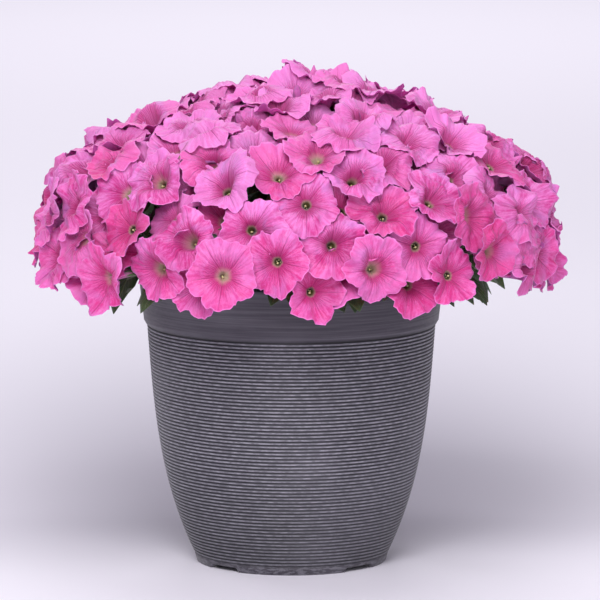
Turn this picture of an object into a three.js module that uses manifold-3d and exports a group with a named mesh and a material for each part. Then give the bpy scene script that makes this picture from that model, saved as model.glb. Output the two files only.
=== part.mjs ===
// A pot of petunias: a ribbed round planter filled with potting mix, twelve leafy stems that stand in
// the mix, and a dense dome of five-lobed blooms, in sprays on the stems' branches.
// Millimetres, +Z up. The origin is the middle of the pot's foot, on the surface that it stands on.
import * as THREE from 'three';
import { mergeVertices } from 'three/addons/utils/BufferGeometryUtils.js';
import Module from 'manifold-3d';

const wasm = await Module();
wasm.setup();

const TAU = 2 * Math.PI;
const GOLDEN_ANGLE = TAU * (1 - 1 / ((1 + Math.sqrt(5)) / 2));
const SEED = 5.1;
const SEAT_GAP = 0.3; // between pieces that touch on the real plant
const UP = new THREE.Vector3(0, 0, 1);

const POT = {
  height: 286,
  sides: 20,
  rimRadius: 150,
  rimBand: 47,
  rimFootRadius: 144.5,
  bevel: 5, // the height over which the rim band steps in to the wall
  wallTopRadius: 141.5,
  taper: 16.5, // how much the wall draws in evenly from top to foot
  bellyTaper: 29, // how much more it draws in, mostly near the foot
  bellyPower: 3.15,
  wall: 3,
  ribs: 65,
  ribDepth: 1.4,
  innerLevels: [30, 70, 130], // heights that shape the inside between floor and rim band
  footHeight: 9,
  footRadius: 93.5,
  footWall: 9,
  floorUnderside: 6,
  floorTop: 9,
  notches: 4,
  notchWidth: 36,
  notchSlant: 3,
  notchHeight: 4.5,
  drainRadius: 6,
  drainRing: 55,
  drainSides: 8,
};

const MIX = { top: 258, crown: 4 };

// The dome of blooms, measured from a point in the middle of the potting mix.
const DOME = {
  centre: new THREE.Vector3(0, 0, 250),
  width: 248, // half its width, along X
  depth: 242, // half its depth, along Y
  rise: 241,
  squareness: 8, // how tightly its side, shoulder and top are rounded into each other
  shoulderSide: 0.45, // how the shoulder slopes: the shares of side and top that make it
  shoulderTop: 0.942,
  lean: 0.01, // fuller to +X
  slump: 0.12, // how much lower its top and shoulder are to -X
  slumpStart: 0.25, // how gently that starts
};

const BLOOMS = { count: 146, lowest: 0.195, jitter: 0.03, neighbourReach: 0.42, presses: 8 };
const SPRAYS = { count: 46, lowest: 0.22 };
const STEMS = { count: 12, lowest: 0.22 };

const BLOOM = {
  lobes: 5,
  sink: 2,
  radius: 30,
  radiusSwing: 2.5,
  notch: 0.86, // the radius between two lobes, as a share of the radius at a lobe
  edgeSwing: 0.04,
  wave: 2.4,
  cup: 1.4, // how far the rim is waved forward between two lobes, and back at a lobe
  bendOut: 6,
  bendIn: 5,
  throatRadius: 4.5,
  throatSink: 2.5,
  throatDepth: 0.08, // how far down the tube, as a share of its length
  tubeSides: 3,
  tubeRadius: 9,
  tubeSink: 8,
  tilt: 0.3,
  heightSwing: 3,
};

const BUD = {
  firstSpray: 2,
  everySpray: 5,
  radius: 4.4,
  neck: 1.5,
  tip: 0.8,
  length: 14,
  reach: 3, // how far its tip stands out of the dome
  sides: 4,
};

const SPRAY = { stalkRadius: 3, rootDepth: 62, stalkAbove: 3, stalkBelow: 8, aboveRim: 14 };

const STEM = {
  sides: 4,
  radius: 4,
  footDepth: 34,
  innerFoot: 14,
  footSpread: 78,
  collar: 8, // how far it stays upright above the mix
  fork: 118,
  aboveRim: 26,
  branchSides: 3,
  branchRadius: 3,
};

const LEAF = {
  length: 58,
  width: 36,
  thickness: 2,
  fold: 4,
  wave: 1.5,
  arch: 0.22,
  widestAt: 0.36,
  taperAt: 0.74,
  taperWidth: 0.66,
  back: 8, // how far apart leaves are on a branch, from its end back
  outward: 0.5, // how much it leans to the way that its spray faces
  below: 0.75, // the turn, as a share of a circle, of a leaf that hangs straight down
  spread: 0.2, // how far to each side of that a hanging leaf may turn
  upright: 1,
  hanging: 2,
  hangBelow: 0.4, // sprays lower on the dome than this have hanging leaves
  tries: 16,
};

const COLOURS = { pot: 0x5b5a63, mix: 0x2e231b, leaf: 0x3d5a22, bloom: 0xee62b4 };

/** A repeatable random number from 0 to 1, for one item and one purpose. */
function draw(item, purpose) {
  const x = Math.sin(item * 12.9898 + purpose * 78.233 + SEED) * 43758.5453;
  return x - Math.floor(x);
}

/** The same, from -1 to 1. */
const swing = (item, purpose) => 2 * draw(item, purpose) - 1;

/** A new point that lies from a start by some distances along some directions. */
function offset(start, ...steps) {
  const point = start.clone();
  steps.forEach(([direction, distance]) => point.addScaledVector(direction, distance));
  return point;
}

// ---------------------------------------------------------------- solids

/** A closed solid from a list of points and a list of triangles. */
function solid(points, triangles) {
  return new wasm.Manifold(
    new wasm.Mesh({
      numProp: 3,
      vertProperties: new Float32Array(points.flatMap((p) => p.toArray())),
      triVerts: new Uint32Array(triangles.flat()),
    }),
  );
}

/** A closed solid from a three.js geometry. */
function solidOf(geometry) {
  const bare = geometry.clone();
  bare.deleteAttribute('normal');
  bare.deleteAttribute('uv');
  const merged = mergeVertices(bare, 1e-3);
  const { array, count } = merged.attributes.position;
  const points = Array.from({ length: count }, (_, i) => new THREE.Vector3().fromArray(array, 3 * i));
  return solid(points, [Array.from(merged.index.array)]);
}

/** A profile of [radius, height] turned round the Z axis. */
function turned(profile) {
  const points = profile.map(([r, z]) => new THREE.Vector2(r, z));
  return solidOf(new THREE.LatheGeometry(points, POT.sides).rotateX(Math.PI / 2));
}

/** A closed skin over rings of equally many points, each ring counter-clockwise seen from the next. */
function loft(rings) {
  const n = rings[0].length;
  const last = (rings.length - 1) * n;
  const triangles = [];
  for (let k = 1; k < n - 1; k++) {
    triangles.push([0, k + 1, k], [last, last + k, last + k + 1]);
  }
  for (let r = 0; r < last; r += n) {
    for (let k = 0; k < n; k++) {
      const [a, b] = [r + k, r + ((k + 1) % n)];
      triangles.push([a, b, b + n], [a, b + n, a + n]);
    }
  }
  return solid(rings.flat(), triangles);
}

/** Two directions that make a right-handed frame with a third, the first of them square to aside. */
function across(direction, aside) {
  const u = new THREE.Vector3().crossVectors(aside, direction).normalize();
  return [u, new THREE.Vector3().crossVectors(direction, u).normalize()];
}

/** A direction that is nowhere near the given one. */
const awayFrom = (direction) => (Math.abs(direction.z) < 0.9 ? UP : new THREE.Vector3(1, 0, 0));

/** A rod through points, with a radius and a direction to face at each, all in one plane or nearly. */
function rod(points, facings, radii, sides) {
  const aside = awayFrom(facings[0]);
  const rings = points.map((centre, i) => {
    const [u, v] = across(facings[i], aside);
    return Array.from({ length: sides }, (_, k) => {
      const angle = (k / sides) * TAU;
      return offset(centre, [u, radii[i] * Math.cos(angle)], [v, radii[i] * Math.sin(angle)]);
    });
  });
  return loft(rings);
}

/** True if a solid meets none of the others. */
const isClear = (made, others) => others.every((other) => made.intersect(other).isEmpty());

/** A named mesh from a closed solid. */
function meshOf(name, made, colour, roughness) {
  const { vertProperties, triVerts } = made.getMesh();
  const geometry = new THREE.BufferGeometry();
  geometry.setAttribute('position', new THREE.BufferAttribute(vertProperties, 3));
  geometry.setIndex(new THREE.BufferAttribute(triVerts, 1));
  geometry.computeVertexNormals();
  const material = new THREE.MeshStandardMaterial({ color: colour, roughness, metalness: 0 });
  const mesh = new THREE.Mesh(geometry, material);
  mesh.name = name;
  return mesh;
}

// ---------------------------------------------------------------- the pot and its filling

const rimFoot = POT.height - POT.rimBand;
const wallTop = rimFoot - POT.bevel;

/** The wall's radius at a height: an even taper, and a belly that draws in towards the foot. */
function wallRadius(z) {
  const down = THREE.MathUtils.clamp((wallTop - z) / (wallTop - POT.footHeight), 0, 1);
  return POT.wallTopRadius - POT.taper * down - POT.bellyTaper * down ** POT.bellyPower;
}

/** The inside of the pot, or what lies a gap away from it, as [radius, height] from the floor to a top. */
function innerProfile(top, gap) {
  const radius = (z) => wallRadius(z) - POT.ribDepth - POT.wall - gap;
  const lip = POT.rimFootRadius - POT.wall - gap;
  const wall = [POT.floorTop + gap, ...POT.innerLevels, wallTop].map((z) => [radius(z), z]);
  return [...wall, [lip, rimFoot + POT.wall], [lip, top]];
}

/** A cutter for one notch in the foot, wider at the surface that the pot stands on. */
function notch() {
  const half = POT.notchWidth / 2;
  const outline = new THREE.Shape([
    new THREE.Vector2(-half - POT.notchSlant, -POT.notchHeight),
    new THREE.Vector2(half + POT.notchSlant, -POT.notchHeight),
    new THREE.Vector2(half - POT.notchSlant, POT.notchHeight),
    new THREE.Vector2(-half + POT.notchSlant, POT.notchHeight),
  ]);
  const cutter = new THREE.ExtrudeGeometry(outline, { depth: 3 * POT.footWall, bevelEnabled: false });
  return cutter.rotateX(Math.PI / 2).translate(0, POT.footRadius + POT.footWall, 0);
}

/** A cutter for one drain hole in the floor. */
function drain() {
  const through = 3 * POT.floorTop;
  const cutter = new THREE.CylinderGeometry(POT.drainRadius, POT.drainRadius, through, POT.drainSides);
  return cutter.rotateX(Math.PI / 2).translate(0, POT.drainRing, 0);
}

/** The ribbed planter: floor, foot ring with notches, ribbed wall and a plain band at the rim. */
function pot() {
  const pitch = (wallTop - POT.footHeight) / POT.ribs;
  const ribbed = [];
  for (let k = 0; k < POT.ribs; k++) {
    const z = POT.footHeight + k * pitch;
    ribbed.push([wallRadius(z) - POT.ribDepth, z], [wallRadius(z + pitch / 2), z + pitch / 2]);
  }
  let made = turned([
    [0, POT.floorUnderside],
    [POT.footRadius - POT.footWall, POT.floorUnderside],
    [POT.footRadius - POT.footWall, 0],
    [POT.footRadius, 0],
    [wallRadius(0), POT.footHeight - 1],
    ...ribbed,
    [POT.wallTopRadius - POT.ribDepth, wallTop],
    [POT.rimFootRadius, rimFoot],
    [POT.rimRadius, POT.height - 1],
    [POT.rimRadius - 1, POT.height],
    ...innerProfile(POT.height, 0).reverse(),
    [0, POT.floorTop],
  ]);
  for (let k = 0; k < POT.notches; k++) {
    const angle = ((k + 0.5) / POT.notches) * TAU;
    made = made.subtract(solidOf(notch().rotateZ(angle))).subtract(solidOf(drain().rotateZ(angle)));
  }
  return made;
}

/** Where a stem stands in the potting mix, further out for a stem that leans out. */
function stemFoot(direction, height) {
  const flat = new THREE.Vector3(direction.x, direction.y, 0);
  const spread = STEM.innerFoot + STEM.footSpread * flat.length();
  return flat.normalize().multiplyScalar(spread).setZ(height);
}

/** The potting mix, which fills the pot's inside, with a plain hole for each stem. */
function pottingMix(directions) {
  const filling = turned([
    [0, POT.floorTop + SEAT_GAP],
    ...innerProfile(MIX.top, SEAT_GAP),
    [POT.wallTopRadius / 2, MIX.top + MIX.crown],
    [0, MIX.top + MIX.crown],
  ]);
  const holes = directions.map((direction) => {
    const deep = stemFoot(direction, MIX.top - STEM.footDepth - SEAT_GAP);
    const high = stemFoot(direction, MIX.top + 2 * MIX.crown);
    const radius = STEM.radius + 2 * SEAT_GAP;
    return rod([deep, high], [UP, UP], [radius, radius], STEM.sides);
  });
  return holes.reduce((made, hole) => made.subtract(hole), filling);
}

// ---------------------------------------------------------------- where the plant's pieces go

/** Directions spread evenly over the dome on a golden-angle spiral, from its top down. */
function spiral({ count, lowest }) {
  return Array.from({ length: count }, (_, i) => {
    const z = 1 - ((1 - lowest) * (i + 0.5)) / count;
    const flat = Math.sqrt(1 - z * z);
    return new THREE.Vector3(flat * Math.cos(i * GOLDEN_ANGLE), flat * Math.sin(i * GOLDEN_ANGLE), z);
  });
}

/** How far to the side, to the top and along the shoulder a direction is, as shares of the dome's size. */
function domeShares({ x, y, z }) {
  const side = Math.hypot(x / DOME.width, y / DOME.depth);
  const top = Math.max(z, 0) / DOME.rise;
  return { side, top, shoulder: DOME.shoulderSide * side + DOME.shoulderTop * top };
}

/** The dome's radius in a direction: an upright side, a sloping shoulder and a low top, rounded together. */
function domeRadius(direction) {
  const n = DOME.squareness;
  const { side, top, shoulder } = domeShares(direction);
  const left = Math.max(-direction.x, 0);
  const slumped = (DOME.slump * left * direction.z ** 3) / (left + DOME.slumpStart);
  return (1 + DOME.lean * direction.x - slumped) / (side ** n + shoulder ** n + top ** n) ** (1 / n);
}

/** The way that the dome's surface faces in a direction. */
function domeNormal(direction) {
  const n = DOME.squareness - 1;
  const { side, top, shoulder } = domeShares(direction);
  const outward = (side ** n + DOME.shoulderSide * shoulder ** n) / side;
  const upward = top ** n + DOME.shoulderTop * shoulder ** n;
  return new THREE.Vector3(
    (direction.x * outward) / DOME.width ** 2,
    (direction.y * outward) / DOME.depth ** 2,
    upward / DOME.rise,
  ).normalize();
}

/** A point so far below the dome's surface. */
const inDome = (direction, depth) => offset(DOME.centre, [direction, domeRadius(direction) - depth]);

/** A direction shaken by three random draws. */
function shaken(direction, item, purpose, amount) {
  const shake = new THREE.Vector3(swing(item, purpose), swing(item, purpose + 1), swing(item, purpose + 2));
  return offset(direction, [shake, amount]).normalize();
}

/** The index of the nearest of several directions. */
function nearest(direction, others) {
  const near = others.map((other) => direction.dot(other));
  return near.indexOf(Math.max(...near));
}

const stemDirections = spiral(STEMS);

const sprays = spiral(SPRAYS).map((direction) => {
  const root = inDome(direction, SPRAY.rootDepth);
  root.z = Math.max(root.z, POT.height + SPRAY.aboveRim);
  return { direction, root, stem: nearest(direction, stemDirections) };
});

const sprayDirections = sprays.map((spray) => spray.direction);
const blooms = spiral(BLOOMS).map((even, i) => {
  const direction = shaken(even, i, 1, BLOOMS.jitter);
  const facing = shaken(domeNormal(direction), i, 4, BLOOM.tilt);
  return {
    direction,
    facing,
    centre: offset(inDome(direction, BLOOM.sink), [facing, BLOOM.heightSwing * swing(i, 7)]),
    radius: BLOOM.radius + BLOOM.radiusSwing * swing(i, 8),
    turn: TAU * draw(i, 9),
    spray: nearest(direction, sprayDirections),
  };
});

// ---------------------------------------------------------------- blooms

/** The planes that part a bloom from its neighbours. They all pass through the dome's centre. */
function partings(i) {
  const own = blooms[i].direction;
  return blooms
    .filter((other, j) => j !== i && other.direction.distanceTo(own) < BLOOMS.neighbourReach)
    .map((other) => new THREE.Vector3().subVectors(own, other.direction).normalize());
}

/** A point moved to its own side of every parting plane. */
function pressedIn(point, planes) {
  const moved = point.clone();
  for (let pass = 0; pass < BLOOMS.presses; pass++) {
    for (const normal of planes) {
      const short = SEAT_GAP / 2 - moved.clone().sub(DOME.centre).dot(normal);
      if (short > 0) moved.addScaledVector(normal, short);
    }
  }
  return moved;
}

/** The triangles between an inner ring of points, numbered from a on, and an outer one, from b on. */
function band(a, inner, b, outer) {
  const nearestInner = (j) => a + (Math.round(((j + 0.5) * inner) / outer) % inner);
  return Array.from({ length: outer }, (_, j) => {
    const [near, following, far] = [nearestInner(j), nearestInner(j + 1), b + ((j + 1) % outer)];
    const triangle = [near, b + j, far];
    return near === following ? [triangle] : [triangle, [near, far, following]];
  }).flat();
}

/** The triangles between a point and each pair of neighbours in a ring that is numbered from b on. */
const fan = (point, b, count) =>
  Array.from({ length: count }, (_, k) => [point, b + k, b + ((k + 1) % count)]);

/** The triangles of a bloom whose points are its throat, the throat's ring, the rim, the tube's and root. */
function bloomTriangles() {
  const { lobes, tubeSides } = BLOOM;
  const [throat, rim] = [1, 1 + lobes];
  const tube = rim + 2 * lobes;
  const root = tube + tubeSides;
  const flipped = ([p, q, r]) => [p, r, q];
  return [
    ...fan(0, throat, lobes),
    ...band(throat, lobes, rim, 2 * lobes),
    ...band(tube, tubeSides, rim, 2 * lobes).map(flipped),
    ...fan(root, tube, tubeSides).map(flipped),
  ];
}

/**
 * One bloom: a waved limb of five lobes round a sunk throat, and a tube that narrows to its root. The limb
 * thickens from its rim to the tube.
 */
function bloomSolid(i) {
  const { centre, facing, radius, turn, spray } = blooms[i];
  const planes = partings(i);
  const [u, v] = across(facing, awayFrom(facing));
  const at = (angle, r, height) =>
    offset(centre, [u, r * Math.cos(angle + turn)], [v, r * Math.sin(angle + turn)], [facing, height]);
  const step = TAU / (2 * BLOOM.lobes);
  const ringOf = (count, r, height) =>
    Array.from({ length: count }, (_, k) => at((k / count) * TAU, r, height));
  const standsOut = swing(i, 7) > 0;
  const rim = Array.from({ length: 2 * BLOOM.lobes }, (_, j) => {
    const between = j % 2 === 1;
    const r = radius * (between ? BLOOM.notch : 1) * (1 + BLOOM.edgeSwing * swing(i, 20 + j));
    const height = (between ? BLOOM.cup : -BLOOM.cup) + BLOOM.wave * swing(i, 40 + j);
    const free = at(j * step, r, height);
    const squeezed = free.distanceTo(pressedIn(free, planes));
    const bend = standsOut ? Math.min(squeezed, BLOOM.bendOut) : -Math.min(squeezed / 2, BLOOM.bendIn);
    return pressedIn(offset(free, [facing, bend]), planes);
  });
  const { root } = sprays[spray];
  const skin = [
    at(0, 0, -BLOOM.tubeSink).lerp(root, BLOOM.throatDepth),
    ...ringOf(BLOOM.lobes, BLOOM.throatRadius, -BLOOM.throatSink),
    ...rim,
    ...ringOf(BLOOM.tubeSides, BLOOM.tubeRadius, -BLOOM.tubeSink),
  ];
  return solid([...skin, root], bloomTriangles());
}

/** A bud on a spray: a slim spindle that stands out between the blooms. */
function budSolid({ direction, root }) {
  const tip = inDome(direction, -BUD.reach);
  const along = [root, offset(tip, [direction, -BUD.length]), tip];
  return rod(along, Array(3).fill(direction), [BUD.neck, BUD.radius, BUD.tip], BUD.sides);
}

/** A spray: its blooms' roots sunk into one short stalk, and on some sprays a bud. */
function spraySolid(spray, k) {
  const { direction, root } = spray;
  const ends = [offset(root, [direction, -SPRAY.stalkBelow]), offset(root, [direction, SPRAY.stalkAbove])];
  let made = rod(ends, [direction, direction], [SPRAY.stalkRadius, SPRAY.stalkRadius], STEM.branchSides);
  blooms.forEach((bloom, i) => {
    if (bloom.spray === k) made = made.add(bloomSolid(i));
  });
  return k % BUD.everySpray === BUD.firstSpray ? made.add(budSolid(spray)) : made;
}

// ---------------------------------------------------------------- leafy stems

/** A pointed leaf that arches over from its root, folded up along a midrib that is thick behind. */
function leafSolid(root, out, above, item) {
  const left = new THREE.Vector3().crossVectors(above, out).normalize();
  const up = new THREE.Vector3().crossVectors(out, left).normalize();
  const at = (along, aside, lift) =>
    offset(
      root,
      [out, LEAF.length * along],
      [up, lift - LEAF.arch * LEAF.length * along ** 2],
      [left, (LEAF.width / 2) * aside],
    );
  const { widestAt, taperAt, taperWidth, fold, thickness } = LEAF;
  const wave = LEAF.wave * (1 + swing(item, 90));
  const points = [
    at(0, 0, 0),
    at(widestAt, 1, fold - wave),
    at(widestAt, 0, 0),
    at(widestAt, -1, fold + wave),
    at(taperAt, taperWidth, taperWidth * fold + wave),
    at(taperAt, 0, 0),
    at(taperAt, -taperWidth, taperWidth * fold - wave),
    at(1, 0, 0),
    at(widestAt, 0, -thickness),
    at(taperAt, 0, -thickness),
  ];
  const face = [[0, 3, 2], [0, 2, 1], [2, 3, 6], [2, 6, 5], [1, 2, 5], [1, 5, 4], [5, 6, 7], [4, 5, 7]];
  const behind = { 2: 8, 5: 9 };
  const back = face.map(([a, b, c]) => [c, b, a].map((corner) => behind[corner] ?? corner));
  return solid(points, [...face, ...back]);
}

/** The point where a stem divides, high enough for its branches to clear the pot's rim. */
function forkOf(direction) {
  const fork = offset(DOME.centre, [direction, STEM.fork]);
  return fork.setZ(Math.max(fork.z, POT.height + STEM.aboveRim));
}

/** The end of a spray's branch, which meets the spray's stalk, and the way that the branch runs. */
function branchOf({ direction, root, stem }) {
  const fork = forkOf(stemDirections[stem]);
  const end = offset(root, [direction, -SPRAY.stalkBelow - SEAT_GAP]);
  return { fork, end, way: new THREE.Vector3().subVectors(end, fork).normalize() };
}

/** A stem from its hole in the mix through its fork to its first spray, and branches to the others. */
function stemSolid(direction, s) {
  const [main, ...others] = sprays.filter((spray) => spray.stem === s);
  const { fork, end } = branchOf(main);
  const low = stemFoot(direction, MIX.top - STEM.footDepth);
  const collar = stemFoot(direction, MIX.top + STEM.collar);
  const rise = new THREE.Vector3().subVectors(fork, collar).normalize();
  const radii = [STEM.radius, STEM.radius, STEM.radius, STEM.branchRadius];
  const stem = rod([low, collar, fork, end], [UP, UP, rise, main.direction], radii, STEM.sides);
  const branches = others.map((spray) => {
    const { end: tip, way } = branchOf(spray);
    return rod([fork, tip], [way, spray.direction], Array(2).fill(STEM.branchRadius), STEM.branchSides);
  });
  return branches.reduce((made, branch) => made.add(branch), stem);
}

/** A leaf near the end of a branch, at the first of several random angles where it has room. */
function leafWithRoom(spray, item, back, hangs, others) {
  const { direction } = spray;
  const { end, way } = branchOf(spray);
  const [u, v] = across(direction, awayFrom(direction));
  for (let t = 0; t < LEAF.tries; t++) {
    const turn = TAU * (hangs ? LEAF.below + LEAF.spread * swing(item, 60 + t) : draw(item, 60 + t));
    const out = offset(
      direction.clone().multiplyScalar(LEAF.outward * (1 + draw(item, 80 + t))),
      [u, Math.cos(turn)],
      [v, Math.sin(turn)],
    ).normalize();
    const leaf = leafSolid(offset(end, [way, -back]), out, hangs ? UP : direction, item);
    if (isClear(leaf, others)) return leaf;
  }
  return null;
}

// ---------------------------------------------------------------- the whole

const potBody = pot();
const mixBody = pottingMix(stemDirections);
const spraySolids = sprays.map(spraySolid);
const stemSolids = stemDirections.map(stemSolid);
const leaves = sprays.map(() => []);
sprays.forEach((spray, k) => {
  const hangs = spray.direction.z < LEAF.hangBelow;
  const otherStems = stemSolids.filter((_, s) => s !== spray.stem);
  for (let n = 0; n < (hangs ? LEAF.hanging : LEAF.upright); n++) {
    const others = [potBody, mixBody, ...spraySolids, ...otherStems, ...leaves.flat()];
    const leaf = leafWithRoom(spray, 10 * k + n, LEAF.back * (n + 1), hangs, others);
    if (leaf) leaves[k].push(leaf);
  }
});
sprays.forEach(({ stem }, k) => {
  stemSolids[stem] = leaves[k].reduce((made, leaf) => made.add(leaf), stemSolids[stem]);
});

const plant = new THREE.Group();
const numbered = (name, k) => `${name}_${String(k + 1).padStart(2, '0')}`;
plant.add(meshOf('pot', potBody, COLOURS.pot, 0.6));
plant.add(meshOf('potting_mix', mixBody, COLOURS.mix, 0.95));
stemSolids.forEach((stem, s) => plant.add(meshOf(numbered('leafy_stem', s), stem, COLOURS.leaf, 0.6)));
spraySolids.forEach((spray, k) => plant.add(meshOf(numbered('bloom_spray', k), spray, COLOURS.bloom, 0.5)));

export default plant;
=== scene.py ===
"""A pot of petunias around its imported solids: a ribbed planter, potting mix, leafy stems, a dome of blooms.

Lengths inside the functions are millimetres, and meshes are written in metres, in the frame of the solids.
"""

import bpy
import numpy as np
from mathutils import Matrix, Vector


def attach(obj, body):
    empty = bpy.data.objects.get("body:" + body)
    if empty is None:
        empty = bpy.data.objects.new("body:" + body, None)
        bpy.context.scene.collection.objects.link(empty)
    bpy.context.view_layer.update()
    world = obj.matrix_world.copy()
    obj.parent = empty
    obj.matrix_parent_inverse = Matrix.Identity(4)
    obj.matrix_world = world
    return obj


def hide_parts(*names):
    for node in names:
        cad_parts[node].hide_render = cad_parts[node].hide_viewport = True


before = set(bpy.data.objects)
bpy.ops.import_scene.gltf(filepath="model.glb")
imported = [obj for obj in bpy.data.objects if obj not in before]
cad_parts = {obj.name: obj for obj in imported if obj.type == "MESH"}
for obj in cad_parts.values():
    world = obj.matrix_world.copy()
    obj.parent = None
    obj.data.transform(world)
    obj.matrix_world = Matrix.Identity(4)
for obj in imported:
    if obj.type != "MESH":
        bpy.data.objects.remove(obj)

bl_info = {
    "name": "Potted petunia",
    "version": (1, 0, 0),
    "blender": (4, 5, 0),
    "location": "View3D > Sidebar > Petunia",
    "description": "Builds a pot of petunias around its packed solids",
    "category": "Object",
}

MM = 0.001
TAU = 2 * np.pi
GOLDEN_ANGLE = TAU * (1 - 1 / ((1 + np.sqrt(5)) / 2))
UP = np.array([0.0, 0.0, 1.0])
ASIDE = np.array([1.0, 0.0, 0.0])

# The rule by which the solids are placed: the same numbers as in the solids' source.
SEED = 5.1
SEAT_GAP = 0.3
DOME_CENTRE = np.array([0.0, 0.0, 250.0])
DOME_WIDTH, DOME_DEPTH, DOME_RISE = 248, 242, 241
DOME_SQUARENESS, DOME_LEAN = 8, 0.01
SHOULDER_SIDE, SHOULDER_TOP = 0.45, 0.942
SLUMP, SLUMP_START = 0.12, 0.25
BLOOM_COUNT, BLOOM_LOWEST, BLOOM_DEPTH, RANK_STEP = 146, 0.195, 5, 3
SPRAY_COUNT, SPRAY_LOWEST, SPRAY_DEPTH, ROOTS_OVER_RIM = 46, 0.22, 62, 14
STEM_COUNT, STEM_LOWEST = 12, 0.22
STALK_BELOW, STALK_ABOVE = 8, 3
FORK_REACH, FORKS_OVER_RIM = 118, 26
RIM_HEIGHT = 286
MIX_TOP, MIX_CROWN = 258, 4

# Blooms that only this script adds, tucked in under the others.
TUCKED_COUNT, TUCKED_DEPTH, TUCKED_TRIES = 70, 13, 1600

# A spray whose way rises less than this hangs over the rim.
LOW_SPRAY = 0.42


# ------------------------------------------------------------------ numbers

def draw(item, purpose):
    """Random numbers from 0 to 1: the fraction of a large sine of the item, the purpose and the seed. Each
    use has purposes of its own, so that no two of them are alike."""
    return np.mod(np.sin(item * 12.9898 + purpose * 78.233 + SEED) * 43758.5453, 1)


def swing(item, purpose):
    """The same random numbers, from -1 to 1."""
    return 2 * draw(item, purpose) - 1


def unit(vectors):
    """Vectors divided by their lengths."""
    return vectors / np.linalg.norm(vectors, axis=-1, keepdims=True)


def dot(a, b):
    """The dot products along the last axis, kept as an axis."""
    return (a * b).sum(-1, keepdims=True)


def smooth(low, high, x):
    """0 below low, 1 above high, and a cubic that is level at both ends between them."""
    t = np.clip((x - low) / (high - low), 0, 1)
    return t * t * (3 - 2 * t)


def across(direction, aside):
    """Two directions square to a third: the cross product with aside, and the cross product with that."""
    u = unit(np.cross(aside, direction))
    return u, unit(np.cross(direction, u))


def away_from(directions):
    """Up, or +X for directions that are themselves nearly up."""
    return np.where(np.abs(directions[..., 2:]) < 0.9, UP, ASIDE)


def square_to(direction):
    """Two directions square to a third and to each other."""
    return across(direction, away_from(direction))


def round_z(radius, angle, z):
    """Points at a radius and an angle round the Z axis, and at a height."""
    return np.stack(np.broadcast_arrays(radius * np.cos(angle), radius * np.sin(angle), z), -1)


def level(direction):
    """A direction without its rise, at length 1."""
    return unit(np.array([direction[0], direction[1], 0.0]))


# ------------------------------------------------------------------ where the plant's pieces are

def spiral(count, lowest):
    """Directions whose heights fall evenly from 1 to lowest while they turn by the golden angle."""
    i = np.arange(count)
    z = 1 - (1 - lowest) * (i + 0.5) / count
    return round_z(np.sqrt(1 - z * z), i * GOLDEN_ANGLE, z)


def dome_shares(d):
    """How far to the side, to the top and along the shoulder directions d are, as shares of the dome."""
    side = np.hypot(d[..., 0] / DOME_WIDTH, d[..., 1] / DOME_DEPTH)
    top = np.maximum(d[..., 2], 0) / DOME_RISE
    return side, top, SHOULDER_SIDE * side + SHOULDER_TOP * top


def dome_radius(d):
    """How far the dome's surface is in directions d: the shares' powers summed, and that sum's root inverted.
    It leans to +X, and to -X it slumps by a share that grows with the cube of the height."""
    power = DOME_SQUARENESS
    side, top, shoulder = dome_shares(d)
    left = np.maximum(-d[..., 0], 0)
    slumped = SLUMP * left * d[..., 2] ** 3 / (left + SLUMP_START)
    return (1 + DOME_LEAN * d[..., 0] - slumped) / (side**power + shoulder**power + top**power) ** (1 / power)


def dome_normal(d):
    """The gradient of that sum in directions d, at length 1."""
    power = DOME_SQUARENESS - 1
    side, top, shoulder = dome_shares(d)
    outward = (side**power + SHOULDER_SIDE * shoulder**power) / side
    upward = top**power + SHOULDER_TOP * shoulder**power
    return unit(np.stack([
        d[..., 0] * outward / DOME_WIDTH**2, d[..., 1] * outward / DOME_DEPTH**2, upward / DOME_RISE], -1))


def in_dome(d, depth):
    """Points so far below the dome's surface in directions d."""
    return DOME_CENTRE + d * (dome_radius(d) - depth)[..., None]


def dome_point(d, depth):
    """The same for one direction."""
    return in_dome(d[None], depth)[0]


def shake(item, purpose):
    """Vectors of three swings each, for three purposes in a row."""
    return np.stack([swing(item, purpose + k) for k in range(3)], -1)


def shaken(d, purpose, amount):
    """Directions d, each moved by an amount of its own shake."""
    return unit(d + amount * shake(np.arange(len(d)), purpose))


def nearest(d, others):
    """For each direction the index of the other that it points most like."""
    return (d @ others.T).argmax(1)


STEM_WAYS = spiral(STEM_COUNT, STEM_LOWEST)
SPRAY_WAYS = spiral(SPRAY_COUNT, SPRAY_LOWEST)
SPRAY_ROOTS = in_dome(SPRAY_WAYS, SPRAY_DEPTH)
SPRAY_ROOTS[:, 2] = np.maximum(SPRAY_ROOTS[:, 2], RIM_HEIGHT + ROOTS_OVER_RIM)
SPRAY_STEMS = nearest(SPRAY_WAYS, STEM_WAYS)
BLOOM_WAYS = shaken(spiral(BLOOM_COUNT, BLOOM_LOWEST), 1, 0.03)
BLOOM_FACINGS = shaken(dome_normal(BLOOM_WAYS), 4, 0.3)
BLOOM_RANKS = swing(np.arange(BLOOM_COUNT), 7)
BLOOM_CENTRES = in_dome(BLOOM_WAYS, BLOOM_DEPTH) + BLOOM_FACINGS * RANK_STEP * BLOOM_RANKS[:, None]


def tucked_ways():
    """Directions for blooms that are tucked in under the others: of many directions spread over the dome, one
    after another the one that is farthest from all blooms so far."""
    free = spiral(TUCKED_TRIES, BLOOM_LOWEST)
    points = in_dome(free, 2)
    distance = np.linalg.norm(points[:, None] - BLOOM_CENTRES, axis=-1).min(1)
    chosen = []
    for _ in range(TUCKED_COUNT):
        chosen.append(distance.argmax())
        distance = np.minimum(distance, np.linalg.norm(points - points[chosen[-1]], axis=-1))
    return free[chosen]


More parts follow.
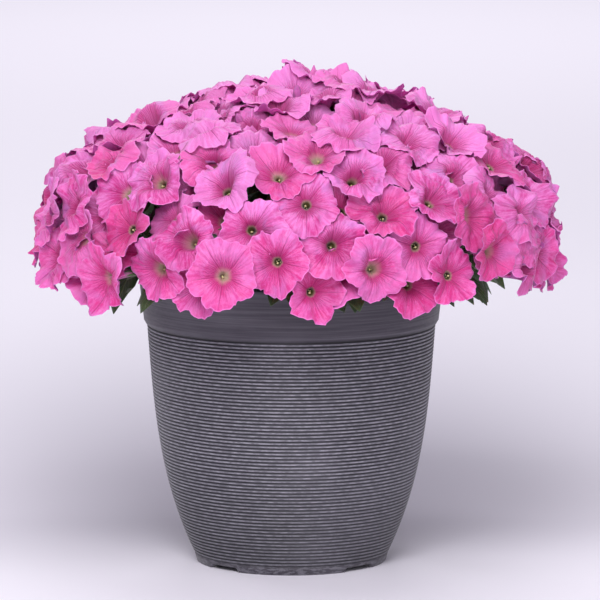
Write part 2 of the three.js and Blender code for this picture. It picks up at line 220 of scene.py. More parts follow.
TUCKED_WAYS = tucked_ways()
BLOOM_WAYS = np.concatenate([BLOOM_WAYS, TUCKED_WAYS])
BLOOM_FACINGS = np.concatenate([BLOOM_FACINGS, shaken(dome_normal(TUCKED_WAYS), 30, 0.45)])
BLOOM_RANKS = np.concatenate([BLOOM_RANKS, -2 - draw(np.arange(TUCKED_COUNT), 33)])
BLOOM_CENTRES = np.concatenate([BLOOM_CENTRES, in_dome(TUCKED_WAYS, TUCKED_DEPTH)])
BLOOM_TURNS = TAU * draw(np.arange(len(BLOOM_WAYS)), 9)
BLOOM_SPRAYS = nearest(BLOOM_WAYS, SPRAY_WAYS)


# ------------------------------------------------------------------ meshes

class Skins:
    """Closed skins that are gathered into one mesh, each with its own finish and its own marks."""

    def __init__(self):
        self.points, self.flats, self.marks = [], [], []
        self.quads, self.triangles = [], []
        self.count = 0

    def add(self, rings, ends=None, flats=None, marks=None, finish=0):
        """Adds rings (row, place on the ring, xyz), joined in order. Two end points close the skin, and
        without them its last ring joins its first. The sign of its volume turns its faces outwards."""
        rows, places = rings.shape[:2]
        points = rings.reshape(-1, 3)
        row = np.arange(rows if ends is None else rows - 1)[:, None] * places
        place = np.arange(places)
        following = (place + 1) % places
        above = (row + places) % (rows * places)
        quads = np.stack([row + place, row + following, above + following, above + place], -1).reshape(-1, 4)
        triangles = np.zeros((0, 3), int)
        flats = np.broadcast_to(0.0 if flats is None else flats, (rows, places, 2)).reshape(-1, 2)
        marks = np.broadcast_to(0.0 if marks is None else marks, (rows, places, 3)).reshape(-1, 3)
        if ends is not None:
            last = (rows - 1) * places
            first_pole, last_pole = len(points), len(points) + 1
            triangles = np.concatenate([
                np.stack([np.full(places, first_pole), following, place], -1),
                np.stack([np.full(places, last_pole), last + place, last + following], -1),
            ])
            points = np.concatenate([points, np.asarray(ends, float)])
            flats, marks = (np.concatenate([a, a[:places].mean(0)[None], a[-places:].mean(0)[None]])
                            for a in (flats, marks))
        corners = np.concatenate([quads[:, [0, 1, 2]], quads[:, [0, 2, 3]], triangles])
        a, b, c = (points[corners[:, k]] - points.mean(0) for k in range(3))
        if (a * np.cross(b, c)).sum() < 0:
            quads, triangles = quads[:, ::-1], triangles[:, ::-1]
        for kept, more in ((self.points, points), (self.flats, flats), (self.marks, marks)):
            kept.append(more)
        self.quads.append((quads + self.count, finish))
        self.triangles.append((triangles + self.count, finish))
        self.count += len(points)

    def piece(self, name, finishes):
        """A mesh object of all the skins, at the origin, with UVMap from flats and an attribute, marks."""
        quads = np.concatenate([q for q, _ in self.quads])
        triangles = np.concatenate([t for t, _ in self.triangles])
        finish = np.concatenate([np.full(len(f), m) for f, m in self.quads + self.triangles])
        corners = np.concatenate([quads.ravel(), triangles.ravel()])
        starts = np.concatenate([
            np.arange(len(quads)) * 4,
            len(quads) * 4 + np.arange(len(triangles)) * 3,
        ])
        points = np.concatenate(self.points) * MM
        mesh = bpy.data.meshes.new(name)
        mesh.vertices.add(len(points))
        mesh.vertices.foreach_set("co", points.astype(np.float32).ravel())
        mesh.loops.add(len(corners))
        mesh.loops.foreach_set("vertex_index", corners.astype(np.int32))
        mesh.polygons.add(len(starts))
        mesh.polygons.foreach_set("loop_start", starts.astype(np.int32))
        mesh.polygons.foreach_set("material_index", finish.astype(np.int32))
        mesh.polygons.foreach_set("use_smooth", np.ones(len(starts), bool))
        mesh.update(calc_edges=True)
        layer = mesh.uv_layers.new(name="UVMap")
        layer.data.foreach_set("uv", np.concatenate(self.flats)[corners].astype(np.float32).ravel())
        marks = mesh.attributes.new("marks", "FLOAT_VECTOR", "POINT")
        marks.data.foreach_set("vector", np.concatenate(self.marks).astype(np.float32).ravel())
        if mesh.validate():
            raise RuntimeError(f"{name} has faces that Blender had to mend")
        for material in finishes:
            mesh.materials.append(material)
        piece = bpy.data.objects.new(name, mesh)
        bpy.context.scene.collection.objects.link(piece)
        return piece


def seat(piece, slot, *nodes):
    """Makes a finished piece ride on the part's one body and stand for its CAD nodes."""
    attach(piece, "root")
    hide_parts(*nodes)


def bezier(points, count):
    """Points along a cubic curve with four control points, which may be arrays of curves (curve, xyz)."""
    t = np.linspace(0, 1, count)[:, None]
    a, b, c, d = points
    return a * (1 - t) ** 3 + 3 * b * t * (1 - t) ** 2 + 3 * c * t**2 * (1 - t) + d * t**3


def add_tube(skins, path, radii, sides, finish):
    """Adds a round rod along a path: at each of its points a circle, with a radius that may change, square to
    the path's direction there."""
    angle = np.arange(sides) / sides * TAU
    u, v = across(unit(np.gradient(path, axis=0)), away_from(unit(path[-1] - path[0])))
    circle = u[:, None] * np.cos(angle)[None, :, None] + v[:, None] * np.sin(angle)[None, :, None]
    rings = path[:, None] + circle * np.asarray(radii, float)[:, None, None]
    along = np.linspace(0, 1, len(path))[:, None]
    flats = np.stack(np.broadcast_arrays(along, np.arange(sides) / sides), -1)
    skins.add(rings, (path[0], path[-1]), flats, finish=finish)


# ------------------------------------------------------------------ materials

class Finish:
    """A node material under construction around one Principled shader."""

    def __init__(self, name, roughness, **constants):
        self.material = bpy.data.materials.new(name)
        self.material.use_nodes = True
        self.tree = self.material.node_tree
        self.shader = next(n for n in self.tree.nodes if n.type == "BSDF_PRINCIPLED")
        self.shader.inputs["Roughness"].default_value = roughness
        for socket, value in constants.items():
            self.shader.inputs[socket.replace("_", " ")].default_value = value

    def node(self, kind, output=0, inputs=(), **settings):
        """A new node's output, with its settings made and its inputs joined or set by name or number."""
        made = self.tree.nodes.new("ShaderNode" + kind)
        for key, value in settings.items():
            setattr(made, key, value)
        for key, value in dict(inputs).items():
            if isinstance(value, bpy.types.NodeSocket):
                self.tree.links.new(value, made.inputs[key])
            else:
                made.inputs[key].default_value = value
        return made.outputs[output]

    def maths(self, operation, *values, clamp=False):
        """A Math node."""
        return self.node("Math", inputs=enumerate(values), operation=operation, use_clamp=clamp)

    def times(self, a, b):
        """A product."""
        return self.maths("MULTIPLY", a, b)

    def plus(self, a, b, clamp=False):
        """A sum, which may be kept between 0 and 1."""
        return self.maths("ADD", a, b, clamp=clamp)

    def off_half(self, value):
        """How far a value is from a half, on either side."""
        return self.maths("ABSOLUTE", self.maths("SUBTRACT", value, 0.5))

    def ramp(self, value, low, high, to_low=0.0, to_high=1.0):
        """A smooth step of a value from one range to another."""
        inputs = {"Value": value, "From Min": low, "From Max": high, "To Min": to_low, "To Max": to_high}
        return self.node("MapRange", inputs=inputs, interpolation_type="SMOOTHSTEP")

    def noise(self, vector, scale, detail=2.0, roughness=0.5, stretch=(1, 1, 1), distortion=0.0):
        """A Noise texture's value on a vector that is stretched first."""
        mapped = self.node("Mapping", inputs={"Vector": vector, "Scale": stretch})
        inputs = {
            "Vector": mapped, "Scale": scale, "Detail": detail,
            "Roughness": roughness, "Distortion": distortion,
        }
        return self.node("TexNoise", "Fac", inputs=inputs)

    def mix(self, share, a, b):
        """One colour mixed with another by a share. Either may be a node's, or three numbers."""
        made = self.tree.nodes.new("ShaderNodeMix")
        made.data_type = "RGBA"
        for socket, value in ((made.inputs[0], share), (made.inputs[6], a), (made.inputs[7], b)):
            if isinstance(value, bpy.types.NodeSocket):
                self.tree.links.new(value, socket)
            else:
                socket.default_value = (*value, 1.0)
        return made.outputs[2]

    def layers(self, base, *rows):
        """A colour with others laid over it in turn, each row with its share and its colour."""
        for share, colour in rows:
            base = self.mix(share, base, colour)
        return base

    def place(self):
        """Object coordinates."""
        return self.node("TexCoord", "Object")

    def flat(self):
        """The piece's own UV map."""
        return self.node("UVMap", uv_map="UVMap")

    def parts(self, vector):
        """A vector's three numbers."""
        parted = self.tree.nodes.new("ShaderNodeSeparateXYZ")
        self.tree.links.new(vector, parted.inputs[0])
        return tuple(parted.outputs)

    def marks(self):
        """The three numbers of the attribute marks."""
        return self.parts(self.node("Attribute", "Vector", attribute_name="marks"))

    def bump(self, height, strength, distance):
        """A bump from a height, in metres of distance at full strength."""
        return self.node("Bump", inputs={"Height": height, "Strength": strength, "Distance": distance})

    def done(self, colour, normal=None, roughness=None):
        """The finished material."""
        for socket, value in (("Base Color", colour), ("Normal", normal), ("Roughness", roughness)):
            if value is not None:
                self.tree.links.new(value, self.shader.inputs[socket])
        return self.material


def pot_finish(look):
    """Matt grey plastic: ridges paler in broken specks, partly rubbed wear and partly painted highlight,
    grooves darkened by painted shade, fine streaks round the band, scuffs on the foot, and painted shade that
    darkens the lowest part of the pot. Marks are how near a point is to a ridge, the plain band, and nothing."""
    f = Finish("planter_plastic", 0.55, Specular_IOR_Level=0.35, Sheen_Weight=0.2, Sheen_Roughness=0.4)
    ridge, band, _ = f.marks()
    place = f.place()
    low = f.parts(place)[2]
    streaks = f.noise(place, 9.0, 4.0, 0.6, stretch=(1, 1, 60))
    broad = f.noise(place, 7.0, 3.0, 0.55)
    specks = f.noise(place, 150.0, 4.0, 0.7, stretch=(1, 1, 3))
    # Ridges paler in broken specks: partly rubbed wear, partly a painted highlight along the rib crests.
    rubbed_and_highlit = f.times(f.ramp(ridge, 0.72, 1.0), f.ramp(specks, 0.38, 0.64, 0.32, 1.0))
    scuffs = f.times(f.ramp(low, 0.012, 0.005), f.ramp(specks, 0.42, 0.6))
    worn = f.maths("MAXIMUM", f.ramp(broad, 0.45, 0.8, 0.0, 0.22), f.times(scuffs, 0.6))
    # Painted shade in the grooves: the wall turns near-black where it dips between the ribs.
    ribbed = f.layers(look.painted_shade_colour, (f.ramp(ridge, 0.0, 0.9), look.wall_colour),
                      (rubbed_and_highlit, look.ridge_colour))
    plain = f.mix(f.ramp(streaks, 0.35, 0.7), look.band_colour, look.streak_colour)
    # The last layer is painted shade: the pot darkens over its lowest 130 mm, most at the foot.
    colour = f.layers(f.mix(band, ribbed, plain), (worn, look.ridge_colour),
                      (f.ramp(low, 0.13, 0.0, 0.0, 0.35), look.painted_shade_colour))
    height = f.plus(f.times(streaks, 0.6), f.times(specks, 0.4))
    return f.done(colour, f.bump(height, 0.35, 0.0006), f.ramp(specks, 0.3, 0.8, 0.5, 0.68))


def mix_finish(look):
    """Dark crumbly potting mix with pale grains of perlite."""
    f = Finish("potting_mix_crumb", 0.95)
    place = f.place()
    crumbs = f.noise(place, 260.0, 4.0, 0.7)
    grains = f.node("TexVoronoi", "Distance", inputs={"Vector": place, "Scale": 170.0})
    pale = f.times(f.ramp(grains, 0.34, 0.2), f.ramp(f.noise(place, 60.0, 1.0), 0.58, 0.64))
    colour = f.layers(look.mix_colour, (f.ramp(crumbs, 0.35, 0.7), look.crumb_colour),
                      (pale, look.perlite_colour))
    return f.done(colour, f.bump(crumbs, 0.8, 0.0015))


def petal_finish(look):
    """Pink petals: a pale or faded ring round an olive throat, deep veins that fade outwards, paler patches
    that are partly painted sheen, mauve clouds of painted sheen, rims paler with a painted highlight, mauve
    backs, and painted light that makes blooms paler at the top of the dome and painted shade that makes them
    stronger along its foot.
    UVs are the flattened bloom; marks are the back, the depth in the tube and the bloom's tone."""
    f = Finish("petal_flesh", 0.5, Subsurface_Weight=0.35, Subsurface_Scale=0.003,
               Subsurface_Radius=(1.0, 0.35, 0.6), Sheen_Weight=0.14, Sheen_Roughness=0.35,
               Sheen_Tint=(0.85, 0.8, 1, 1), Specular_IOR_Level=0.25)
    back, depth, tone = f.marks()
    place, flat = f.place(), f.flat()
    height = f.parts(place)[2]
    x, y, _ = f.parts(f.node("VectorMath", inputs={0: flat, 1: (0.5, 0.5, 0.0)}, operation="SUBTRACT"))
    reach = f.times(f.maths("SQRT", f.plus(f.times(x, x), f.times(y, y))), 2.0)
    angle = f.maths("ARCTAN2", y, x)

    # Veins: one along each lobe's middle, and coarse and fine rays that wander.
    lobe = f.off_half(f.maths("FRACT", f.plus(f.times(angle, 5 / TAU), 0.5)))
    wander = f.noise(flat, 9.0, 3.0, 0.6)
    rib = f.plus(f.times(lobe, reach), f.times(f.maths("SUBTRACT", wander, 0.5), 0.012))
    rays, fine = (f.maths("SINE", f.plus(f.times(angle, count), f.times(wander, sway)))
                  for count, sway in ((45.0, 16.0), (115.0, 40.0)))
    veins = f.times(f.ramp(rays, 0.2, 1.0), f.ramp(reach, 0.85, 0.08))
    veins = f.maths("MAXIMUM", veins, f.times(f.ramp(rib, 0.016, 0.002), f.ramp(reach, 1.0, 0.5, 0.25, 0.9)))
    veins = f.plus(veins, f.times(f.ramp(fine, 0.3, 1.0), f.ramp(reach, 1.0, 0.3, 0.1, 0.3)), clamp=True)

    # Patches of every size, and streaks that run outwards and differ from bloom to bloom. The paler patches
    # are partly colour that varies and partly painted sheen, and the mauve clouds are painted sheen.
    patches = f.noise(place, 38.0, 3.0, 0.6, distortion=0.6)
    mottle = f.noise(place, 300.0, 4.0, 0.65)
    painted_sheen = f.noise(place, 22.0, 2.0, 0.5, distortion=1.0)
    spokes = f.node("CombineXYZ", inputs={0: f.times(f.maths("SINE", angle), 4.0),
                                          1: f.times(f.maths("COSINE", angle), 4.0),
                                          2: f.plus(reach, f.times(tone, 31.0))})
    streak = f.noise(spokes, 2.2, 4.0, 0.7)
    light = f.plus(f.ramp(patches, 0.4, 0.64, 0.0, 0.6), f.ramp(streak, 0.4, 0.62, 0.0, 0.6), clamp=True)
    aged = f.ramp(f.maths("FRACT", f.times(tone, 7.3)), 0.62, 0.72)
    face = f.layers(
        look.petal_colour,
        (light, look.petal_light),
        (f.ramp(tone, 0.45, 1.0, 0.0, 0.6), look.petal_hot),
        (f.ramp(tone, 0.45, 0.0, 0.0, 0.5), look.petal_light),
        # Painted sheen: mauve clouds where a velvet sheen would shine.
        (f.ramp(painted_sheen, 0.56, 0.74, 0.0, 0.75), look.petal_sheen_mauve),
        # Painted light and shade: blooms paler near the top of the dome, where light falls from above, and
        # deeper pink lower down.
        (f.ramp(height, 0.37, 0.47, 0.0, 0.55), look.petal_light),
        (f.ramp(height, 0.4, 0.3, 0.0, 0.4), look.petal_hot),
        (f.times(f.ramp(mottle, 0.5, 0.7), 0.3), look.petal_light),
        (f.ramp(reach, 0.62, 0.08, 0.0, 0.7), look.petal_deep),
        (f.times(veins, 0.65), look.vein_colour),
        # Painted highlight: a pale band along each rim.
        (f.ramp(reach, 0.95, 1.0, 0.0, 0.65), look.petal_light),
        (f.times(aged, f.ramp(reach, 0.24, 0.06, 0.0, 0.5)), look.halo_colour),
        (f.ramp(reach, 0.12, 0.02), look.ring_colour),
        (f.ramp(depth, 0.1, 0.3), f.mix(aged, look.throat_colour, look.ring_colour)))
    behind = f.layers(
        look.back_colour,
        (f.times(veins, 0.35), look.petal_colour),
        (f.ramp(patches, 0.4, 0.7, 0.0, 0.5), look.petal_light),
        (f.ramp(depth, 0.1, 0.9, 0.0, 0.6), look.tube_colour))
    relief = f.plus(f.times(veins, -0.6), f.times(mottle, 0.5))
    return f.done(f.mix(back, face, behind), f.bump(relief, 0.7, 0.0006), f.ramp(mottle, 0.3, 0.8, 0.42, 0.6))


def leaf_finish(look):
    """Soft green leaves: paler midrib and side veins, mottled blades, paler undersides. UVs are the blade
    (along, across); marks are the underside, nothing, and the leaf's tone."""
    f = Finish("leaf_blade", 0.6, Sheen_Weight=0.3, Sheen_Roughness=0.5, Subsurface_Weight=0.08,
               Subsurface_Scale=0.003)
    under, _, tone = f.marks()
    place = f.place()
    along, sideways, _ = f.parts(f.flat())
    aside = f.off_half(sideways)
    slant = f.maths("SUBTRACT", f.times(along, 8.0), f.times(aside, 7.0))
    side = f.ramp(f.off_half(f.maths("FRACT", slant)), 0.09, 0.02)
    veins = f.maths("MAXIMUM", f.ramp(aside, 0.05, 0.012), f.times(side, 0.6))
    blotch = f.noise(place, 60.0, 3.0, 0.6)
    grain = f.noise(place, 900.0, 2.0, 0.6)
    colour = f.layers(
        look.leaf_deep,
        (f.ramp(blotch, 0.35, 0.7), look.leaf_colour),
        (f.times(tone, 0.4), look.leaf_light),
        (f.times(veins, 0.45), look.leaf_light),
        (f.times(under, 0.35), look.leaf_light))
    height = f.plus(f.times(veins, -0.8), f.times(grain, 0.4))
    return f.done(colour, f.bump(height, 0.6, 0.0006))


def stalk_finish(look):
    """Downy green stems, calyces and stalks, streaked along their length."""
    f = Finish("stalk_skin", 0.65, Sheen_Weight=0.5, Sheen_Roughness=0.5)
    streaks = f.noise(f.flat(), 10.0, 3.0, 0.6, stretch=(0.5, 6, 1))
    blotch = f.noise(f.place(), 80.0, 2.0)
    colour = f.layers(look.leaf_colour, (f.ramp(streaks, 0.3, 0.7), look.leaf_light),
                      (f.ramp(blotch, 0.5, 0.75, 0.0, 0.4), look.leaf_deep))
    return f.done(colour, f.bump(streaks, 0.5, 0.0004))


def pollen_finish(look):
    """Cream stigmas and anthers, grained with ochre."""
    f = Finish("pollen_cream", 0.6, Specular_IOR_Level=0.6)
    grain = f.noise(f.place(), 1500.0, 2.0)
    colour = f.mix(f.ramp(grain, 0.35, 0.7), look.pollen_colour, look.pollen_deep)
    return f.done(colour, f.bump(grain, 0.6, 0.0002))


# ------------------------------------------------------------------ the pot and its filling

WALL_TOP, RIM_FOOT, FOOT_TOP = 234, 239, 9
WALL_RADIUS, TAPER, BELLY, BELLY_POWER, WALL_THICKNESS = 141.5, 16.5, 29, 3.15, 4.6
BAND_RADIUS, RIM_RADIUS, LIP_RADIUS, LIP_ROUNDING = 144.5, 150, 148.0, 1.7
FOOT_INSIDE, FOOT_EDGE, FOOT_OUTSIDE = 84.5, 93.5, 95.4
NOTCHES, NOTCH_HEIGHT, NOTCH_START, NOTCH_END = 4, 4.5, 16, 20
FLOOR_RADIUS, FLOOR_TOP, FLOOR_FOOT = 88.0, 9, 6
DRAIN_REACH, DRAIN_RADIUS = 55, 6.0
MIX_RADIUS, MIX_FOOT, MIX_OFF_WALL, HEAP = 141.2, FOOT_TOP + 0.4, 4.9, 0.9


def wall_radius(z):
    """The wall's radius over the ribs: an even taper, and a belly whose draw grows with a power of the way
    down."""
    down = np.clip((WALL_TOP - z) / (WALL_TOP - FOOT_TOP), 0, 1)
    return WALL_RADIUS - TAPER * down - BELLY * down**BELLY_POWER


def pot_profile(ribs, depth):
    """The wall's outline as radius, height, ridge and band: foot, ribs as rounded arches between narrow
    grooves, rim band, lip, and the inside back down. A rib is the wall's radius less depth times
    1 - |sin|^0.6."""
    def rows(radius, z, ridge, band):
        return np.stack(np.broadcast_arrays(radius, z, ridge, band), -1)

    foot = np.array([[FOOT_INSIDE, FOOT_TOP, 0.2, 1], [FOOT_INSIDE, 0, 0.2, 1], [FOOT_EDGE - 0.7, 0, 0.3, 1],
                     [FOOT_EDGE, 0.7, 0.9, 1], [94.6, 5, 0.4, 1], [FOOT_OUTSIDE, FOOT_TOP - 0.9, 0.8, 1]])
    share = np.array([0.0, 0.14, 0.36, 0.64, 0.86])
    pitch = (WALL_TOP - FOOT_TOP) / ribs
    z = (FOOT_TOP + pitch * (np.arange(ribs)[:, None] + share)).ravel()
    arch = np.tile(np.sin(np.pi * share) ** 0.6, ribs)
    ribbed = rows(wall_radius(z) - depth * (1 - arch), z, arch, 0)
    step = np.array([[wall_radius(WALL_TOP) - depth, WALL_TOP, 0.0, 0], [142.6, RIM_FOOT - 3, 0.1, 0.6],
                     [BAND_RADIUS - 0.5, RIM_FOOT - 0.4, 0.7, 1], [BAND_RADIUS, RIM_FOOT + 0.2, 1.0, 1]])
    z = np.linspace(RIM_FOOT + 1.2, RIM_HEIGHT - 3, 9)
    band = rows(np.interp(z, [RIM_FOOT, RIM_HEIGHT], [BAND_RADIUS, RIM_RADIUS]), z, 0.4, 1)
    turn = np.linspace(0, np.pi, 7)
    lip = rows(LIP_RADIUS + LIP_ROUNDING * np.cos(turn),
               RIM_HEIGHT - LIP_ROUNDING + LIP_ROUNDING * np.sin(turn), 0.9, 1)
    z = np.array([RIM_FOOT + 2, WALL_TOP - 2, 190, 150, 110, 70, 40, 20, FOOT_TOP])
    inside = rows(np.where(z > RIM_FOOT, WALL_RADIUS, wall_radius(z) - WALL_THICKNESS), z, 0.2, 1)
    return np.concatenate([foot, ribbed, step, band, lip, inside])


def floor_sector(quarter):
    """A quarter of the pot's floor as rings round its drain hole: the hole's edge, and where a ray from the
    hole's middle first meets one of the quarter's straight sides or its arc."""
    middle = DRAIN_REACH / np.sqrt(2)
    corners = np.arctan2([-middle, -middle, FLOOR_RADIUS - middle], [-middle, FLOOR_RADIUS - middle, -middle])
    angle = np.unique(np.mod(np.concatenate([np.linspace(0, TAU, 60, endpoint=False), corners]), TAU))
    x, y = np.cos(angle), np.sin(angle)
    with np.errstate(divide="ignore"):
        to_sides = np.minimum(*(np.where(a < 0, -middle / a, np.inf) for a in (x, y)))
    along = middle * (x + y)
    to_arc = -along + np.sqrt(along**2 - 2 * middle**2 + FLOOR_RADIUS**2)
    far, hole = np.minimum(to_sides, to_arc), DRAIN_RADIUS
    outline = ((hole, FLOOR_TOP), (far, FLOOR_TOP), (far, FLOOR_FOOT), (hole, FLOOR_FOOT))
    rings = np.array([round_z(r, angle, z) for r, z in outline]) + (middle, middle, 0)
    for _ in range(quarter):
        rings = np.stack([-rings[..., 1], rings[..., 0], rings[..., 2]], -1)
    return rings


def make_pot(look):
    """The ribbed planter: its outline turned about Z, with four notches that lift the foot's edge."""
    radius, z, ridge, band = (column[:, None] for column in pot_profile(look.ribs, look.rib_depth).T)
    angle = np.arange(look.around) / look.around * TAU
    to_notch = np.abs(np.mod(angle / (TAU / NOTCHES), 1) - 0.5) * (TAU / NOTCHES) * FOOT_EDGE
    z = np.maximum(z, NOTCH_HEIGHT * (1 - smooth(NOTCH_START, NOTCH_END, to_notch)))
    skins = Skins()
    skins.add(round_z(radius, angle, z), marks=np.stack(np.broadcast_arrays(ridge, band, 0 * z), -1))
    for quarter in range(4):
        skins.add(floor_sector(quarter), marks=np.array([0.2, 1.0, 0.0]))
    seat(skins.piece("ribbed_planter", [pot_finish(look)]), "planter_plastic", "pot")


def make_mix(look):
    """The potting mix: a flat-bottomed plug that fills the pot, its top heaped by waves of many lengths."""
    rows = np.linspace(1, 0.04, 44)[:, None]
    angle = np.arange(150) / 150 * TAU
    x, y = MIX_RADIUS * rows * np.cos(angle), MIX_RADIUS * rows * np.sin(angle)
    heap = (np.sin(x / 7 + 1.3 * np.sin(y / 9)) + np.sin(y / 6 + 1.7 * np.sin(x / 11))
            + 0.7 * np.sin((x + y) / 3.1) + 0.7 * np.sin((x - y) / 2.7 + np.sin(x / 5)))
    top = MIX_TOP + MIX_CROWN * (1 - rows**2) + HEAP * heap * smooth(1, 0.93, rows)
    z = np.array([MIX_FOOT, 30, 70, 130, 200, WALL_TOP, RIM_FOOT + 3, MIX_TOP - 6])[:, None]
    radius = np.where(z > RIM_FOOT, MIX_RADIUS, wall_radius(z) - MIX_OFF_WALL)
    rings = np.concatenate([round_z(radius, angle, z), np.stack([x, y, top], -1)])
    skins = Skins()
    skins.add(rings, ((0, 0, MIX_FOOT), (0, 0, MIX_TOP + MIX_CROWN)))
    seat(skins.piece("potting_mix_fill", [mix_finish(look)]), "potting_mix", "potting_mix")


# ------------------------------------------------------------------ blooms

# Which of a spray's finishes a skin has.
PETAL, STALK, POLLEN = 0, 1, 2

# Every fifth spray has a bud, and every fourth an old, furled bloom.
BUD_EVERY, FURLED_EVERY = 5, 4

# Waves round a bloom, each as a count and a height.
FRILLS = ((9, 0.015), (13, 0.015), (17, 0.016), (22, 0.015), (29, 0.012), (38, 0.01))
BENDS = ((1, 6.0), (2, 5.5), (3, 4.2), (4, 3.2))
RUFFLES = ((6, 1.0), (9, 1.1), (13, 1.1), (20, 0.6), (31, 0.3))

# A bloom's tube, each ring as its depth below the funnel, its radius, and how far it is painted as deep, and
# the depths at which the skin closes inside and outside.
TUBE_INSIDE = ((15, 1.6, 1), (10, 2.0, 0.8), (5, 2.3, 0.6), (1.5, 2.6, 0.4))
TUBE_OUTSIDE = ((1.5, 3.1, 0.2), (4, 3.0, 0.35), (8, 2.8, 0.5), (13, 2.6, 0.7), (19, 2.4, 0.9), (23, 1.9, 1))
TUBE_ENDS = (16, 24)

# How blooms lie on each other, in millimetres where they are lengths.
NEIGHBOURS, RAISED_MOST, LIFTED_MOST, LIFT_SLOPE = 2.3, 5, 14, 0.75
FUNNEL_GAP, FUNNEL_REACH, FUNNEL_OVER, TUBE_SINK, TUBE_SPREAD = 0.8, 14, 6, 16, 3


class Limb:
    """The spread petals of one bloom on a grid of reach (rows) and angle: where the grid lies in the bloom's
    own frame, and afterwards how far each point is lifted to lie on the blooms below it."""

    THROAT, REACH_POWER, LOBES = 2.7, 0.85, 5
    GRID, TUCKED_GRID, TUCKED_SIZE = (17, 92), (11, 54), 0.92

    def __init__(self, i, look):
        tucked = i >= BLOOM_COUNT
        self.i = i
        self.rows, self.places = self.TUCKED_GRID if tucked else self.GRID
        self.facing, self.centre = BLOOM_FACINGS[i], BLOOM_CENTRES[i]
        self.u, self.v = square_to(self.facing)
        self.angle = np.arange(self.places) / self.places * TAU
        self.reach = np.linspace(0, 1, self.rows)[:, None] ** self.REACH_POWER
        size = look.bloom_radius * (self.TUCKED_SIZE if tucked else 1) + 2.5 * swing(i, 8)
        self.funnel, self.flare = 8 + 6 * draw(i, 11), 4.5 + 4.5 * draw(i, 12)
        self.rim = size * self.outline()
        self.radius = self.THROAT + (self.rim - self.THROAT) * self.reach
        self.height = self.waved(look)
        self.lift = np.zeros_like(self.height)
        self.dent = np.zeros(self.height.shape + (3,))

    def waves(self, table, purpose, scale=1.0):
        """A sum of sines round the bloom, with a table's counts and heights, and drawn phases."""
        return sum(scale * height * np.sin(n * self.angle + TAU * draw(self.i, purpose + n))
                   for n, height in table)

    def outline(self):
        """The rim as a share of the bloom's radius: five lobes as powers of |cos|, a small point on each, and
        waves of several lengths."""
        i, angle = self.i, self.angle
        lobe = np.abs(np.cos(self.LOBES / 2 * angle))
        notch = 0.19 + 0.07 * swing(i, 13)
        uneven = 0.04 * np.sin(angle + TAU * draw(i, 100)) + 0.04 * np.sin(2 * angle + TAU * draw(i, 101))
        return 1 - notch * (1 - lobe**0.62) + 0.02 * lobe**30 + uneven + self.waves(FRILLS, 100)

    def waved(self, look):
        """Height over the bloom's plane: a funnel that falls off as an exponential, a cup that grows with the
        square of reach, slow bends round it, lobes that each curl their own way, folds between them, a
        channel down each lobe, fine pleats, and ruffles that grow with the cube of reach."""
        i, angle, reach = self.i, self.angle, self.reach
        funnel = -self.funnel * np.exp(-(self.radius - self.THROAT) / self.flare)
        cup = (1 + 5 * swing(i, 10)) * reach**2
        bent = self.waves([(n, height * draw(i, 110 + n)) for n, height in BENDS], 120) * reach**2
        middle = np.abs(np.cos(self.LOBES / 2 * angle))
        lobe = np.floor(np.mod(angle / TAU * self.LOBES + 0.5, self.LOBES))
        curled = 6.5 * swing(i, 140 + lobe) * middle * reach**3
        folds = (2.2 + 2.0 * draw(i, 14)) * (1 - middle) ** 2 * reach**1.5
        channel = -1.9 * middle**14 * np.sin(np.pi * reach**0.8)
        pleats = 0.22 * np.sin(25 * angle + TAU * draw(i, 15)) * np.sin(np.pi * reach)
        ruffles = self.waves(RUFFLES, 130, look.ruffle) * reach**3
        return funnel + cup + bent + curled + folds + channel + pleats + ruffles

    def points(self, thickness=0.0):
        """The grid's points, or those of the back, which lies a thickness behind square to the funnel."""
        slope = self.funnel / self.flare * np.exp(-(self.radius - self.THROAT) / self.flare)
        steep = np.sqrt(1 + slope**2)
        radius = self.radius + thickness * slope / steep
        height = self.height - thickness / steep
        turn = self.angle + BLOOM_TURNS[self.i]
        flat = (radius * np.cos(turn))[..., None] * self.u + (radius * np.sin(turn))[..., None] * self.v
        placed = self.centre + flat + height[..., None] * self.facing
        return placed + self.lift[..., None] * unit(placed - DOME_CENTRE) + self.dent

    def height_at(self, points):
        """How far points are above this limb's settled face, which is read from its grid by shares of the way
        between four of its points, and whether they are over it at all."""
        local = points - self.centre
        a, b, h = (local @ axis for axis in (self.u, self.v, self.facing))
        place = np.mod(np.arctan2(b, a) - BLOOM_TURNS[self.i], TAU) / TAU * self.places
        share = place - np.floor(place)
        here = np.floor(place).astype(int) % self.places
        there = (here + 1) % self.places
        rim = self.rim[here] * (1 - share) + self.rim[there] * share
        reach = (np.hypot(a, b) - self.THROAT) / (rim - self.THROAT)
        row = np.clip(reach, 0, 1) ** (1 / self.REACH_POWER) * (self.rows - 1)
        low = np.minimum(np.floor(row).astype(int), self.rows - 2)
        inner, outer = (self.top[k, here] * (1 - share) + self.top[k, there] * share for k in (low, low + 1))
        return h - (inner * (1 - (row - low)) + outer * (row - low)), reach < 1.04

    def shortage(self, below, clearance):
        """How far each point is short of the clearance over the limbs below it."""
        points = self.points()
        short = np.zeros_like(self.lift)
        for other in below:
            over, inside = other.height_at(points)
            short = np.maximum(short, np.where(inside, clearance - over, 0))
        return short

    def settle(self, below, clearance):
        """Raises the bloom until its funnel clears the limbs below it, lifts its petals off them, and draws
        each lift out into a slope all round it."""
        funnel = self.shortage(below, clearance) * (self.reach < 0.3)
        self.centre = self.centre + self.facing * min(funnel.max(), RAISED_MOST)
        for _ in range(3):
            self.lift = self.sloped(self.lift + np.clip(self.shortage(below, clearance), 0, LIFTED_MOST))
        self.top = (self.points() - self.centre) @ self.facing

